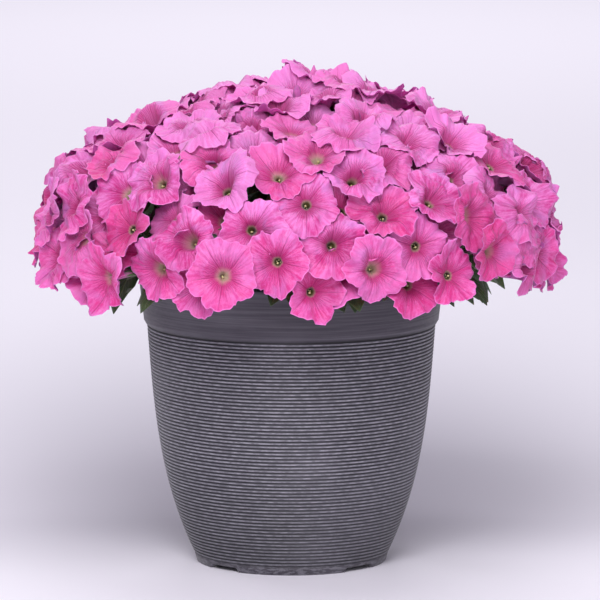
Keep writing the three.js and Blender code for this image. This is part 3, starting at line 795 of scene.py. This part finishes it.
    def press(self, above):
        """Presses the points that are under a funnel of the limbs above it down below that funnel, and those
        under its throat deeper still, by a cone."""
        for other in above:
            points = self.points()
            local = points - other.centre
            aside = np.linalg.norm(local - dot(local, other.facing) * other.facing, axis=-1)
            over, _ = other.height_at(points)
            deep = FUNNEL_GAP + TUBE_SINK * np.clip(1 - (aside - other.THROAT) / TUBE_SPREAD, 0, 1)
            push = np.where(aside < FUNNEL_REACH, np.maximum(over + deep, 0), 0) * (over < FUNNEL_OVER)
            self.dent = self.dent - push[..., None] * other.facing

    def sloped(self, lift):
        """The least lift that is nowhere below the given one and falls off at one slope in every direction,
        with its creases smoothed and nothing left at the throat."""
        steps = np.diff(self.radius, axis=0) * LIFT_SLOPE
        arc = self.radius * (TAU / self.places) * LIFT_SLOPE
        for _ in range(12):
            lift = np.maximum(lift, np.roll(lift, 1, 1) - arc)
            lift = np.maximum(lift, np.roll(lift, -1, 1) - arc)
            lift[:-1] = np.maximum(lift[:-1], lift[1:] - steps)
            lift[1:] = np.maximum(lift[1:], lift[:-1] - steps)
        blurred = (lift + np.roll(lift, 1, 1) + np.roll(lift, -1, 1)) / 3
        return np.maximum(blurred, 0) * smooth(0.0, 0.4, self.reach)


def settled_limbs(look):
    """Every bloom's limb, laid from the lowest rank to the highest, each on its neighbours below, and then
    pressed by its neighbours above."""
    def neighbours(i):
        far = np.linalg.norm(BLOOM_CENTRES - BLOOM_CENTRES[i], axis=1)
        return np.flatnonzero(far < NEIGHBOURS * look.bloom_radius)

    limbs = {}
    for i in np.argsort(BLOOM_RANKS):
        limb = Limb(i, look)
        limb.settle([limbs[j] for j in neighbours(i) if j in limbs], look.petal_gap)
        limbs[i] = limb
    for i, limb in limbs.items():
        limb.press([limbs[j] for j in neighbours(i) if BLOOM_RANKS[j] > BLOOM_RANKS[i]])
    return limbs


def bloom_axis(limb):
    """The curve from a bloom's middle, straight behind it at first, to its spray's stalk."""
    spray = BLOOM_SPRAYS[limb.i]
    root, way = SPRAY_ROOTS[spray], SPRAY_WAYS[spray]
    return bezier((limb.centre, limb.centre - 26 * limb.facing, root + 14 * way, root), 61)


def along_path(path, length, at):
    """The point at a length along a path, or a row of any array that has one for each of its points."""
    return np.array([np.interp(at, length, path[:, k]) for k in range(3)])


def add_bloom(skins, limb, look):
    """One bloom as a closed skin: the tube's inside, the limb's face, the rim, the back, and the tube's
    outside, whose radius shrinks from the funnel to the calyx."""
    axis = bloom_axis(limb)
    length = np.concatenate([[0], np.cumsum(np.linalg.norm(np.diff(axis, axis=0), axis=1))])
    ways = unit(np.gradient(axis, axis=0))
    turn = limb.angle + BLOOM_TURNS[limb.i]

    def ring(depth, radius):
        point, way = along_path(axis, length, depth), unit(along_path(ways, length, depth))
        u = unit(limb.u - (limb.u @ way) * way)
        v = np.cross(u, way) * np.sign(np.cross(u, way) @ limb.v)
        return point + radius * (np.cos(turn)[:, None] * u + np.sin(turn)[:, None] * v), point

    inner, outer = ([ring(limb.funnel + depth, radius)[0] for depth, radius, _ in table]
                    for table in (TUBE_INSIDE, TUBE_OUTSIDE))
    deep_inside, deep_outside = ([deep for _, _, deep in table] for table in (TUBE_INSIDE, TUBE_OUTSIDE))
    inside, outside = np.zeros(len(inner)), np.ones(len(outer))
    face, behind = limb.points(), limb.points(look.petal_thickness)[::-1]
    edge = (face[-1] + behind[0]) / 2 + 0.15 * unit(face[-1] - face[-2])
    rings = np.concatenate([inner, face, [edge], behind, outer])
    reach = np.concatenate([inside, limb.reach[:, 0], [1.0], limb.reach[::-1, 0], 0 * outside])
    flats = 0.5 + 0.5 * reach[:, None, None] * np.stack([np.cos(limb.angle), np.sin(limb.angle)], -1)
    back = np.concatenate([inside, np.zeros(limb.rows), [0.5], np.ones(limb.rows), outside])
    deep_face = np.exp(-limb.reach[:, 0] * 26) * 0.3
    deep = np.concatenate([deep_inside, deep_face, [0], np.zeros(limb.rows), deep_outside])
    marks = np.stack([back, deep, np.full_like(back, draw(limb.i, 150))], -1)[:, None]
    ends = tuple(ring(limb.funnel + depth, 0)[1] for depth in TUBE_ENDS)
    skins.add(rings, ends, flats, marks, PETAL)
    add_calyx(skins, limb, ring, axis, length)
    add_stamens(skins, limb)


def add_calyx(skins, limb, ring, axis, length):
    """Behind each bloom five narrow sepals round the tube's end, which spread with a power of the way along
    them and are a lobe of a sine wide, and the stalk that carries it."""
    base = limb.funnel + 22
    depths = np.linspace(base, max(length[-1] - 1, base + 6), 7)
    path = np.array([along_path(axis, length, depth) for depth in depths])
    add_tube(skins, path, [2.6, 1.5, 1.1, 1.1, 1.1, 1.2, 1.4], 6, STALK)
    for k in range(5):
        place = int(round((k / 5 * TAU + 0.6) / TAU * limb.places)) % limb.places
        lines = []
        for t in np.linspace(0, 1, 5):
            spread = 2.2 + 2.6 * t**1.5 + 1.2 * swing(limb.i, 160 + k) * t
            edge, centre = ring(base + 2 - 14 * t, 1.0)
            outward = edge[place] - centre
            aside = unit(edge[(place + 8) % limb.places] - edge[(place - 8) % limb.places])
            half = 1.5 * np.sin(np.pi * min(1, 0.25 + 0.72 * t)) + 0.1
            spine = centre + outward * spread
            lines.append([spine + aside * half, spine + outward * 0.35,
                          spine - aside * half, spine - outward * 0.35])
        lines = np.array(lines)
        skins.add(lines, (lines[0].mean(0), lines[-1].mean(0)), finish=STALK)


def add_stamens(skins, limb):
    """In the throat a pale round stigma and four anthers, as small closed beads: balls drawn out by a fifth
    along the bloom's facing."""
    i, facing = limb.i, limb.facing
    mouth = -limb.funnel
    beads = [(1.1, 0.3 * TAU * swing(i, 170) - TAU / 4, 1.15, mouth + 1.2)]
    beads += [(1.7, TAU * (k / 4 + draw(i, 171)), 0.7, mouth - 2 - k % 2) for k in range(4)]
    down = (UP @ facing) * facing - UP
    down = unit(down) if np.linalg.norm(down) > 0.05 else limb.u
    side = np.cross(facing, down)
    latitude = np.array([-0.9, 0.0, 0.9])[:, None]
    ball = round_z(np.cos(latitude), np.arange(6) / 6 * TAU, np.sin(latitude))
    for off, turn, size, height in beads:
        middle = limb.centre + facing * height + off * (-np.sin(turn) * down + np.cos(turn) * side)
        rings = middle + size * (ball[..., :1] * down + ball[..., 1:2] * side + 1.2 * ball[..., 2:] * facing)
        ends = (middle - 1.2 * size * facing, middle + 1.2 * size * facing)
        skins.add(rings, ends, finish=POLLEN)


def add_rolled(skins, path, tip, radius, u, v, painted, marks):
    """A rolled-up bloom: rings in the directions u and v, whose radius differs along and round a path, closed
    at a tip. It is painted as a petal is at one reach from its middle."""
    angle = np.arange(radius.shape[1]) / radius.shape[1] * TAU
    circle = np.cos(angle)[:, None] * u + np.sin(angle)[:, None] * v
    flats = 0.5 + painted * np.stack([np.cos(angle), np.sin(angle)], -1)
    marks = np.stack(np.broadcast_arrays(*marks), -1)
    skins.add(path[:, None] + radius[..., None] * circle, (path[0], tip), flats, marks, PETAL)


def add_bud(skins, k):
    """A furled bud on a spray: a spindle with five spiral furrows that deepen to its tip, on a thin stalk."""
    way, root = SPRAY_WAYS[k], SPRAY_ROOTS[k]
    tip = dome_point(way, -14)
    t = np.linspace(0, 1, 22)[:, None]
    angle = np.arange(40) / 40 * TAU
    path = tip - way * 30 * (1 - t)
    swell = 1.5 + 2.9 * np.sin(np.pi * np.clip(t * 0.92 + 0.02, 0, 1)) ** 1.3 * (0.45 + 0.75 * t)
    furrow = 1 + 0.16 * smooth(0.35, 0.9, t) * np.cos(5 * (angle + 2.2 * t))
    close = np.sqrt(np.clip(1 - (np.maximum(t - 0.82, 0) / 0.19) ** 2, 0.02, 1))
    add_rolled(skins, path, tip, swell * furrow * close, *square_to(way), 0.3, (0.75, 0.45 - 0.4 * t, 0))
    add_tube(skins, np.linspace(root, path[1], 8), [1.6, 1.3, 1.2, 1.2, 1.2, 1.4, 2.0, 2.3], 7, STALK)


def add_furled(skins, k):
    """An old bloom rolled up on itself: a flattened spindle with five deep, twisted furrows that thins to a
    ragged tip. Its path bends out between the petals, and hangs where the spray is low on the dome."""
    way, root = SPRAY_WAYS[k], SPRAY_ROOTS[k]
    aim = way + 0.3 * shake(k, 220)
    aim = unit(np.array([aim[0], aim[1], max(aim[2], 0.2)]))
    start, out, tip = (dome_point(aim, depth) for depth in (24, -2, -15))
    if way[2] < LOW_SPRAY:
        tip = out + 7 * level(aim) - 24 * UP
    path = bezier((start, out, out + 0.3 * (tip - out), tip), 26)
    t = np.linspace(0, 1, 26)[:, None]
    angle = np.arange(30) / 30 * TAU
    swell = 1.3 - 0.8 * t + 3.3 * np.sin(np.pi * t**0.85) ** 1.3
    furrow = 1 + 0.34 * smooth(0.15, 0.5, t) * np.cos(5 * angle + 5 * t + TAU * draw(k, 223))
    ragged = 1 + 0.14 * np.sin(3 * angle + 19 * t + TAU * draw(k, 224)) * t
    ways = unit(np.gradient(path, axis=0))
    u = unit(np.cross(ways, square_to(way)[0]))[:, None]
    v = 0.6 * np.cross(ways[:, None], u)
    add_rolled(skins, path, path[-1] + 0.4 * ways[-1], swell * furrow * ragged, u, v, 0.42,
               (0.3, 0 * t, draw(k, 225)))
    add_tube(skins, np.linspace(root, path[1], 8), [1.6, 1.3, 1.2, 1.2, 1.2, 1.3, 1.6, 1.8], 7, STALK)


def make_blooms(look):
    """All sprays of blooms, each one piece: settled blooms, calyces, stamens, the spray's stalk, and on some
    a bud or an old, furled bloom."""
    finishes = [petal_finish(look), stalk_finish(look), pollen_finish(look)]
    limbs = settled_limbs(look)
    for k, (way, root) in enumerate(zip(SPRAY_WAYS, SPRAY_ROOTS)):
        skins = Skins()
        for i in np.flatnonzero(BLOOM_SPRAYS == k):
            add_bloom(skins, limbs[i], look)
        stalk = np.linspace(root - STALK_BELOW * way, root + STALK_ABOVE * way, 6)
        add_tube(skins, stalk, [2.0, 2.1, 2.2, 2.4, 2.2, 1.5], 8, STALK)
        if k % BUD_EVERY == 2:
            add_bud(skins, k)
        if k % FURLED_EVERY == 1:
            add_furled(skins, k)
        name = f"{k + 1:02d}"
        seat(skins.piece(f"petal_spray_{name}", finishes), "petals", f"bloom_spray_{name}")


# ------------------------------------------------------------------ leafy stems

LEAF_LENGTH, LEAF_WIDTH, LEAF_ARCH, WIDEST, NARROWING = 58, 36, 0.22, 0.36, 1.5
LEAF_TRIES, HANGING_BELOW = 16, 0.4
LEAF_LARGE, LEAF_SMALL, WALL_MIDDLE = 0.9, 0.64, 110
TRUNK_FOOT, TRUNK_COLLAR = 226, 266

# Which of a stem's finishes a skin has.
BLADE, STEM = 0, 1

# Inner leaves: how many a spray has, and the same for a low one, whose further leaves hang; how much to the
# side one grows that hangs beside the pot; and the height below which the others don't point down.
INNER_LEAVES, INNER_LEAVES_LOW, BESIDE_POT, RISING_BELOW = 6, 12, 0.62, 335

# Items below this number are the main leaves', and those from it on the inner leaves'.
INNER_ITEMS = 1000


def add_leaf(skins, root, out, above, item, size=1.0, rows=20, places=9):
    """An ovate leaf as flattened rings along its midrib: half its width is a power of the way from the root
    times a power of the way to the tip, highest at the widest place. It arches over with the square of the
    way along, folds up from the midrib, and its edge is waved."""
    left = unit(np.cross(above, out))
    up = unit(np.cross(out, left))
    t = np.linspace(0.015, 0.985, rows)[:, None]
    x = np.linspace(-1, 1, places)[None, :]
    side = np.abs(x)
    ovate = (t / WIDEST) ** (WIDEST * NARROWING) * ((1 - t) / (1 - WIDEST)) ** ((1 - WIDEST) * NARROWING)
    half = size * LEAF_WIDTH / 2 * ovate * (1 + 0.02 * np.sin(23 * t + 9 * draw(item, 91)))
    arch = -LEAF_ARCH * LEAF_LENGTH * t**2
    fold = 4 * side**1.3 * ovate
    wave = 1.5 * side**2 * np.sin(11 * t + 2.4 * x + TAU * draw(item, 92)) * ovate
    quilt = 0.5 * np.sin(TAU * (7 * t - 2.4 * side)) * (1 - side) * ovate
    lift = size * (arch + fold + wave + quilt)
    thick = 0.35 + 0.7 * (side < 0.2) * (1 - t)
    midline = root + (size * LEAF_LENGTH * t)[..., None] * out
    face = midline + (half * x)[..., None] * left + lift[..., None] * up
    under = face - thick[..., None] * up
    flat = np.stack(np.broadcast_arrays(t, 0.5 + 0.5 * x), -1)
    marks = np.zeros((2 * places, 3))
    marks[places:, 0], marks[:, 2] = 1, draw(item, 93)
    tip = root + size * LEAF_LENGTH * out - size * LEAF_ARCH * LEAF_LENGTH * up
    skins.add(np.concatenate([face, under[:, ::-1]], 1), (root - 0.2 * up, tip),
              np.concatenate([flat, flat[:, ::-1]], 1), marks, BLADE)


def branch_of(k):
    """A spray's branch: the fork that it leaves, its end under the spray's stalk, and the way between."""
    fork = DOME_CENTRE + FORK_REACH * STEM_WAYS[SPRAY_STEMS[k]]
    fork[2] = max(fork[2], RIM_HEIGHT + FORKS_OVER_RIM)
    end = SPRAY_ROOTS[k] - (STALK_BELOW + SEAT_GAP) * SPRAY_WAYS[k]
    return fork, end, unit(end - fork)


def leaf_places(k):
    """The leaves that a spray's branch may carry: each as root, the ways that it could grow, the side that it
    shows, and its number."""
    way = SPRAY_WAYS[k]
    hangs = way[2] < HANGING_BELOW
    _, end, along = branch_of(k)
    u, v = square_to(way)
    tries = np.arange(LEAF_TRIES)
    for n in range(2 if hangs else 1):
        item = 10 * k + n
        share = 0.75 + 0.2 * swing(item, 60 + tries) if hangs else draw(item, 60 + tries)
        outward = way * (0.5 * (1 + draw(item, 80 + tries)))[:, None]
        outs = unit(outward + np.cos(TAU * share)[:, None] * u + np.sin(TAU * share)[:, None] * v)
        yield end - along * 8 * (n + 1), outs, UP if hangs else way, item


def over_rim(item):
    """The least height of an inner leaf's root."""
    return RIM_HEIGHT + ROOTS_OVER_RIM + 6 * draw(item, 204)


def filling_leaf(aim, item):
    """An inner leaf that lies across the dome: its root, the way it grows, and the side that it shows."""
    root = dome_point(aim, 30 + 22 * draw(item, 203))
    root[2] = max(root[2], over_rim(item))
    u, v = square_to(aim)
    turn = TAU * draw(item, 205)
    out = unit(0.35 * aim + np.cos(turn) * u + np.sin(turn) * v)
    out[2] = abs(out[2]) if root[2] < RISING_BELOW else out[2]
    return root, out, aim


def hanging_leaf(aim, item, beside):
    """The same for one that hangs out and down. Beside the pot it starts deeper and falls more steeply."""
    root = dome_point(aim, 70 + 25 * draw(item, 203) if beside else 45 + 35 * draw(item, 203))
    root[2] = over_rim(item)
    flat = level(aim)
    fall = (0.55 if beside else 0.25) + 0.4 * draw(item, 207)
    out = unit(flat + 0.8 * swing(item, 206) * np.cross(flat, UP) - fall * UP)
    return root, out, unit(UP + 0.9 * np.array([swing(item, 210), swing(item, 211), 0.0]))


def add_inner_leaves(skins, k):
    """Small leaves on long stalks that fill the dome behind a spray's petals. A low spray also has leaves
    that hang, which are larger beside the pot."""
    way = SPRAY_WAYS[k]
    _, end, along = branch_of(k)
    for n in range(INNER_LEAVES_LOW if way[2] < LOW_SPRAY else INNER_LEAVES):
        item = INNER_ITEMS + 20 * k + n
        aim = unit(way + 0.3 * shake(item, 200))
        hangs, beside = n >= INNER_LEAVES, abs(aim[0]) > BESIDE_POT
        root, out, shown = hanging_leaf(aim, item, beside) if hangs else filling_leaf(aim, item)
        size = (0.8 if hangs and beside else 0.62) + 0.3 * draw(item, 209)
        base = end - along * (3 + 22 * draw(item, 208))
        petiole = bezier((base, base + 6 * aim, root - 8 * out, root + 0.5 * out), 5)
        add_tube(skins, petiole, [0.9, 0.8, 0.75, 0.75, 0.7], 4, STEM)
        add_leaf(skins, root, out, shown, item, size, rows=7, places=4)


def grown_way(root, outs, above, corners):
    """Which of the ways a leaf of the solids grew: the one whose tip is a corner of the solid, if any."""
    left = unit(np.cross(above, outs))
    up = unit(np.cross(outs, left))
    tips = root + LEAF_LENGTH * outs - LEAF_ARCH * LEAF_LENGTH * up
    off = np.linalg.norm(tips[:, None] - corners[None], axis=-1).min(1)
    return outs[off.argmin()] if off.min() < 0.5 else None


def stem_foot(way, height):
    """Where a stem stands in the mix: further out for a stem that leans out."""
    lean = np.hypot(way[0], way[1])
    return level(way) * (14 + 78 * lean) + height * UP


def make_stems(look):
    """All leafy stems, each one piece: a trunk that curves from the mix to its fork, branches to the sprays,
    and leaves with short stalks. Which leaves there are is read from the corners of the solids' stems."""
    finishes = [leaf_finish(look), stalk_finish(look)]
    for s, way in enumerate(STEM_WAYS):
        name = f"{s + 1:02d}"
        corners = np.array([v.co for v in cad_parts[f"leafy_stem_{name}"].data.vertices]) / MM
        skins = Skins()
        foot, collar = stem_foot(way, TRUNK_FOOT), stem_foot(way, TRUNK_COLLAR)
        for number, k in enumerate(np.flatnonzero(SPRAY_STEMS == s)):
            fork, end, along = branch_of(k)
            if number == 0:
                trunk = bezier((foot, collar, fork - 0.3 * (fork - collar), fork), 14)
                add_tube(skins, trunk, np.linspace(3.7, 3.0, 14), 10, STEM)
            branch = bezier((fork - 2 * along, fork + 0.35 * (end - fork), end - 0.3 * (end - fork), end), 9)
            add_tube(skins, branch, np.linspace(2.9, 2.0, 9), 8, STEM)
            for root, outs, above, item in leaf_places(k):
                out = grown_way(root, outs, above, corners)
                if out is not None:
                    before_wall = above is UP and abs(root[0]) < WALL_MIDDLE and root[1] < 0
                    add_leaf(skins, root, out, above, item, LEAF_SMALL if before_wall else LEAF_LARGE)
            add_inner_leaves(skins, k)
        seat(skins.piece(f"green_stem_{name}", finishes), "foliage", f"leafy_stem_{name}")


# ------------------------------------------------------------------ the stage

FLOOR_REACH = 40.0

# Each light: its place, what it shines at, its size in metres, and its colour.
WHITE = (1.0, 0.99, 1.0)
LIGHTS = {
    "key": ((-0.5, -3.2, 2.6), (0, 0, 0.3), 1.8, WHITE),
    "top": ((0.3, 0.4, 3.6), (0, 0.1, 0.2), 2.4, WHITE),
    "back": ((-2.6, 2.6, 2.4), (0, 0, 0.35), 2.0, WHITE),
    "far": ((0, 6.2, 4.0), (0, 5.6, 0), 3.0, WHITE),
    "fill": ((1.3, -4.6, 1.5), (0, 0, 0.15), 2.6, (0.99, 0.98, 1.0)),
}
ROOM_COLOUR = (0.93, 0.91, 1.0, 1)
CAMERA_PLACE, CAMERA_AIM = (0.0085, -5.308, 0.992), (0.0085, 0, 0.257)
CAMERA_LENS, CAMERA_SENSOR, CAMERA_CLIP = 328, 36, 60


def make_floor(look):
    """A level square floor, wide enough to fill the view from every side, with a shadow painted into its
    colour behind the pot.
    """
    corners = [(x * FLOOR_REACH, y * FLOOR_REACH, 0) for x, y in ((-1, -1), (1, -1), (1, 1), (-1, 1))]
    mesh = bpy.data.meshes.new("floor")
    mesh.from_pydata(corners, [], [(0, 1, 2, 3)])
    f = Finish("floor_paper", 0.9, Specular_IOR_Level=0.1)
    x, y, _ = f.parts(f.place())
    # Painted shadow: the floor's colour darkens behind the pot, most near the middle, where the pot's shadow
    # falls.
    behind = f.times(f.ramp(y, -0.12, 0.22), f.ramp(y, 2.1, 0.3))
    shade = f.times(behind, f.ramp(f.maths("ABSOLUTE", x), 0.5, 0.05, 0.3, 1.0))
    mesh.materials.append(f.done(f.mix(shade, look.floor_colour, look.painted_floor_shadow)))
    floor = bpy.data.objects.new("floor", mesh)
    bpy.context.scene.collection.objects.link(floor)


def place_towards(name, data, place, target):
    """A light or a camera at a place, turned towards a target."""
    holder = bpy.data.objects.new(name, data)
    holder.location = place
    holder.rotation_euler = (Vector(target) - Vector(place)).to_track_quat("-Z", "Y").to_euler()
    bpy.context.scene.collection.objects.link(holder)
    return holder


def make_stage(look):
    """Floor, lights, surroundings and the camera at the photograph's angle."""
    make_floor(look)
    for name, (place, target, size, colour) in LIGHTS.items():
        light = bpy.data.lights.new(name, "AREA")
        light.shape, light.size, light.color = "SQUARE", size, colour
        light.energy = getattr(look, f"{name}_power")
        place_towards(name, light, place, target)
    scene = bpy.context.scene
    scene.world = bpy.data.worlds.new("room")
    scene.world.use_nodes = True
    background = scene.world.node_tree.nodes["Background"]
    background.inputs["Color"].default_value = ROOM_COLOUR
    background.inputs["Strength"].default_value = look.room_light
    scene.view_settings.view_transform = "Standard"
    camera = bpy.data.cameras.new("photo_camera")
    camera.lens, camera.sensor_width, camera.clip_end = CAMERA_LENS, CAMERA_SENSOR, CAMERA_CLIP
    scene.camera = place_towards("photo_camera", camera, CAMERA_PLACE, CAMERA_AIM)


# ------------------------------------------------------------------ the add-on

def colour_of(name, text, value):
    """A colour that a user may change."""
    return bpy.props.FloatVectorProperty(
        name=name, description=text, default=value, size=3, min=0, max=1, subtype="COLOR")


def length_of(name, text, value, low, high):
    """A small length that a user may change."""
    return bpy.props.FloatProperty(
        name=name, description=f"{text}, in millimetres", default=value, min=low, max=high)


def count_of(name, text, value, low, high):
    """A whole number that a user may change."""
    return bpy.props.IntProperty(name=name, description=text, default=value, min=low, max=high)


def power_of(name, text, value):
    """A light's power that a user may change."""
    return bpy.props.FloatProperty(name=name, description=text, default=value, min=0, unit="POWER")


class PlanterLook(bpy.types.PropertyGroup):
    """Sizes and colours of the planter and its filling."""

    ribs: count_of("Ribs", "Ribs on the wall", 65, 10, 90)
    rib_depth: length_of("Rib depth", "Depth of a groove", 1.4, 0.2, 2)
    around: count_of("Around", "Faces round the wall", 184, 24, 256)
    wall_colour: colour_of("Wall", "The ribbed wall", (0.06, 0.057, 0.072))
    # Painted shade: the colour that darkens the grooves between the ribs and the pot towards its foot.
    painted_shade_colour: colour_of("Grooves", "Between the ribs", (0.007, 0.0065, 0.0085))
    # Ridges: the colour of rubbed wear on the ribs and foot, and of the painted highlight on the rib crests.
    ridge_colour: colour_of("Ridges", "Where ribs are rubbed", (0.33, 0.318, 0.372))
    band_colour: colour_of("Band", "The plain band at the rim", (0.05, 0.043, 0.06))
    streak_colour: colour_of("Streaks", "Fine streaks in the band", (0.095, 0.086, 0.106))
    mix_colour: colour_of("Potting mix", "The mix between the stems", (0.022, 0.014, 0.009))
    crumb_colour: colour_of("Crumbs", "Paler crumbs of the mix", (0.07, 0.045, 0.03))
    perlite_colour: colour_of("Perlite", "Pale grains in the mix", (0.62, 0.6, 0.55))


class PlantLook(bpy.types.PropertyGroup):
    """Sizes and colours of the blooms and the leaves."""

    bloom_radius: length_of("Bloom radius", "Middle of a bloom to a lobe's tip", 32.5, 20, 40)
    petal_thickness: length_of("Petal thickness", "Thickness of a petal", 0.45, 0.2, 1)
    petal_gap: length_of("Petal gap", "How far a petal lies over another", 1.7, 0.5, 4)
    ruffle: length_of("Ruffle", "Height of each wave of a rim", 1.25, 0, 3)
    petal_colour: colour_of("Petal", "Most of a petal", (0.66, 0.042, 0.275))
    # Petal light is also the colour of the painted highlights on the rims, of the painted light on the top of
    # the dome, and partly of the painted sheen in the paler patches.
    petal_light: colour_of("Petal light", "Paler patches and rims", (0.94, 0.27, 0.7))
    petal_deep: colour_of("Petal deep", "Deeper near the throat", (0.48, 0.015, 0.15))
    # Petal hot is also the colour of the painted shade that deepens the blooms low on the dome.
    petal_hot: colour_of("Petal hot", "Warmer, stronger pink blooms", (0.74, 0.03, 0.21))
    # Petal mauve is the colour of a painted sheen.
    petal_sheen_mauve: colour_of("Petal mauve", "Mauve patches", (0.64, 0.24, 0.64))
    vein_colour: colour_of("Veins", "Veins of a petal", (0.3, 0.006, 0.11))
    back_colour: colour_of("Petal back", "Backs of petals", (0.42, 0.11, 0.36))
    tube_colour: colour_of("Tube", "Outside of a bloom's tube", (0.4, 0.3, 0.3))
    ring_colour: colour_of("Ring", "Pale ring round the throat", (0.44, 0.33, 0.24))
    halo_colour: colour_of("Halo", "Faded middle of an older bloom", (0.72, 0.5, 0.42))
    throat_colour: colour_of("Throat", "Inside of the throat", (0.07, 0.06, 0.018))
    pollen_colour: colour_of("Pollen", "Stigma and anthers", (0.7, 0.62, 0.36))
    pollen_deep: colour_of("Pollen deep", "Ochre grains of the pollen", (0.55, 0.5, 0.2))
    leaf_colour: colour_of("Leaf", "Most of a leaf", (0.03, 0.075, 0.013))
    leaf_deep: colour_of("Leaf deep", "Darker parts of a leaf", (0.012, 0.036, 0.008))
    leaf_light: colour_of("Leaf light", "Veins and stems", (0.11, 0.2, 0.045))


class StageLook(bpy.types.PropertyGroup):
    """Lights and floor."""

    key_power: power_of("Key", "Main light, from the front", 108)
    top_power: power_of("Top", "Light from above", 30)
    fill_power: power_of("Fill", "Light that softens shadows at the front", 42)
    back_power: power_of("Back", "Light from behind", 26)
    far_power: power_of("Far floor", "Light on the floor far behind the pot", 112)
    room_light: bpy.props.FloatProperty(name="Room", description="Light from all round", default=0.34, min=0)
    floor_colour: colour_of("Floor", "Most of the floor", (0.94, 0.905, 0.995))
    # Painted shadow: the colour that the floor turns to behind the pot.
    painted_floor_shadow: colour_of("Floor shade", "The floor behind the pot", (0.46, 0.435, 0.51))


class PETUNIA_OT_stage(bpy.types.Operator):
    """Floor, lights and camera"""

    bl_idname = "petunia.stage"
    bl_label = "Stage and camera"

    def execute(self, context):
        make_stage(context.scene.petunia_stage)
        return {"FINISHED"}


class PETUNIA_OT_planter(bpy.types.Operator):
    """The ribbed planter, in place of the solid pot"""

    bl_idname = "petunia.planter"
    bl_label = "Planter"

    def execute(self, context):
        make_pot(context.scene.petunia_planter)
        return {"FINISHED"}


class PETUNIA_OT_potting_mix(bpy.types.Operator):
    """The potting mix that fills the planter"""

    bl_idname = "petunia.potting_mix"
    bl_label = "Potting mix"

    def execute(self, context):
        make_mix(context.scene.petunia_planter)
        return {"FINISHED"}


class PETUNIA_OT_stems(bpy.types.Operator):
    """The twelve leafy stems"""

    bl_idname = "petunia.stems"
    bl_label = "Leafy stems"

    def execute(self, context):
        make_stems(context.scene.petunia_plant)
        return {"FINISHED"}


class PETUNIA_OT_blooms(bpy.types.Operator):
    """The sprays of blooms, buds and old, furled blooms"""

    bl_idname = "petunia.blooms"
    bl_label = "Blooms"

    def execute(self, context):
        make_blooms(context.scene.petunia_plant)
        return {"FINISHED"}


class PETUNIA_PT_panel(bpy.types.Panel):
    """Lists what builds the plant, with its sizes and colours"""

    bl_idname = "PETUNIA_PT_panel"
    bl_label = "Potted petunia"
    bl_space_type = "VIEW_3D"
    bl_region_type = "UI"
    bl_category = "Petunia"

    def draw(self, context):
        for group, operators in PANEL_ROWS:
            box = self.layout.box()
            settings = getattr(context.scene, group)
            for name in settings.__annotations__:
                box.prop(settings, name)
            for made in operators:
                box.operator(made.bl_idname)


PANEL_ROWS = (
    ("petunia_planter", (PETUNIA_OT_planter, PETUNIA_OT_potting_mix)),
    ("petunia_plant", (PETUNIA_OT_stems, PETUNIA_OT_blooms)),
    ("petunia_stage", (PETUNIA_OT_stage,)),
)
GROUPS = {"petunia_planter": PlanterLook, "petunia_plant": PlantLook, "petunia_stage": StageLook}
OPERATORS = (
    PETUNIA_OT_stage, PETUNIA_OT_planter, PETUNIA_OT_potting_mix, PETUNIA_OT_stems, PETUNIA_OT_blooms)


def register():
    for made in (*GROUPS.values(), *OPERATORS, PETUNIA_PT_panel):
        bpy.utils.register_class(made)
    for name, group in GROUPS.items():
        setattr(bpy.types.Scene, name, bpy.props.PointerProperty(type=group))


def unregister():
    for name in GROUPS:
        delattr(bpy.types.Scene, name)
    for made in reversed((*GROUPS.values(), *OPERATORS, PETUNIA_PT_panel)):
        bpy.utils.unregister_class(made)


def main():
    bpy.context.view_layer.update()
    register()
    bpy.ops.petunia.stage()
    bpy.ops.petunia.planter()
    bpy.ops.petunia.potting_mix()
    bpy.ops.petunia.stems()
    bpy.ops.petunia.blooms()


if __name__ == "__main__":
    main()
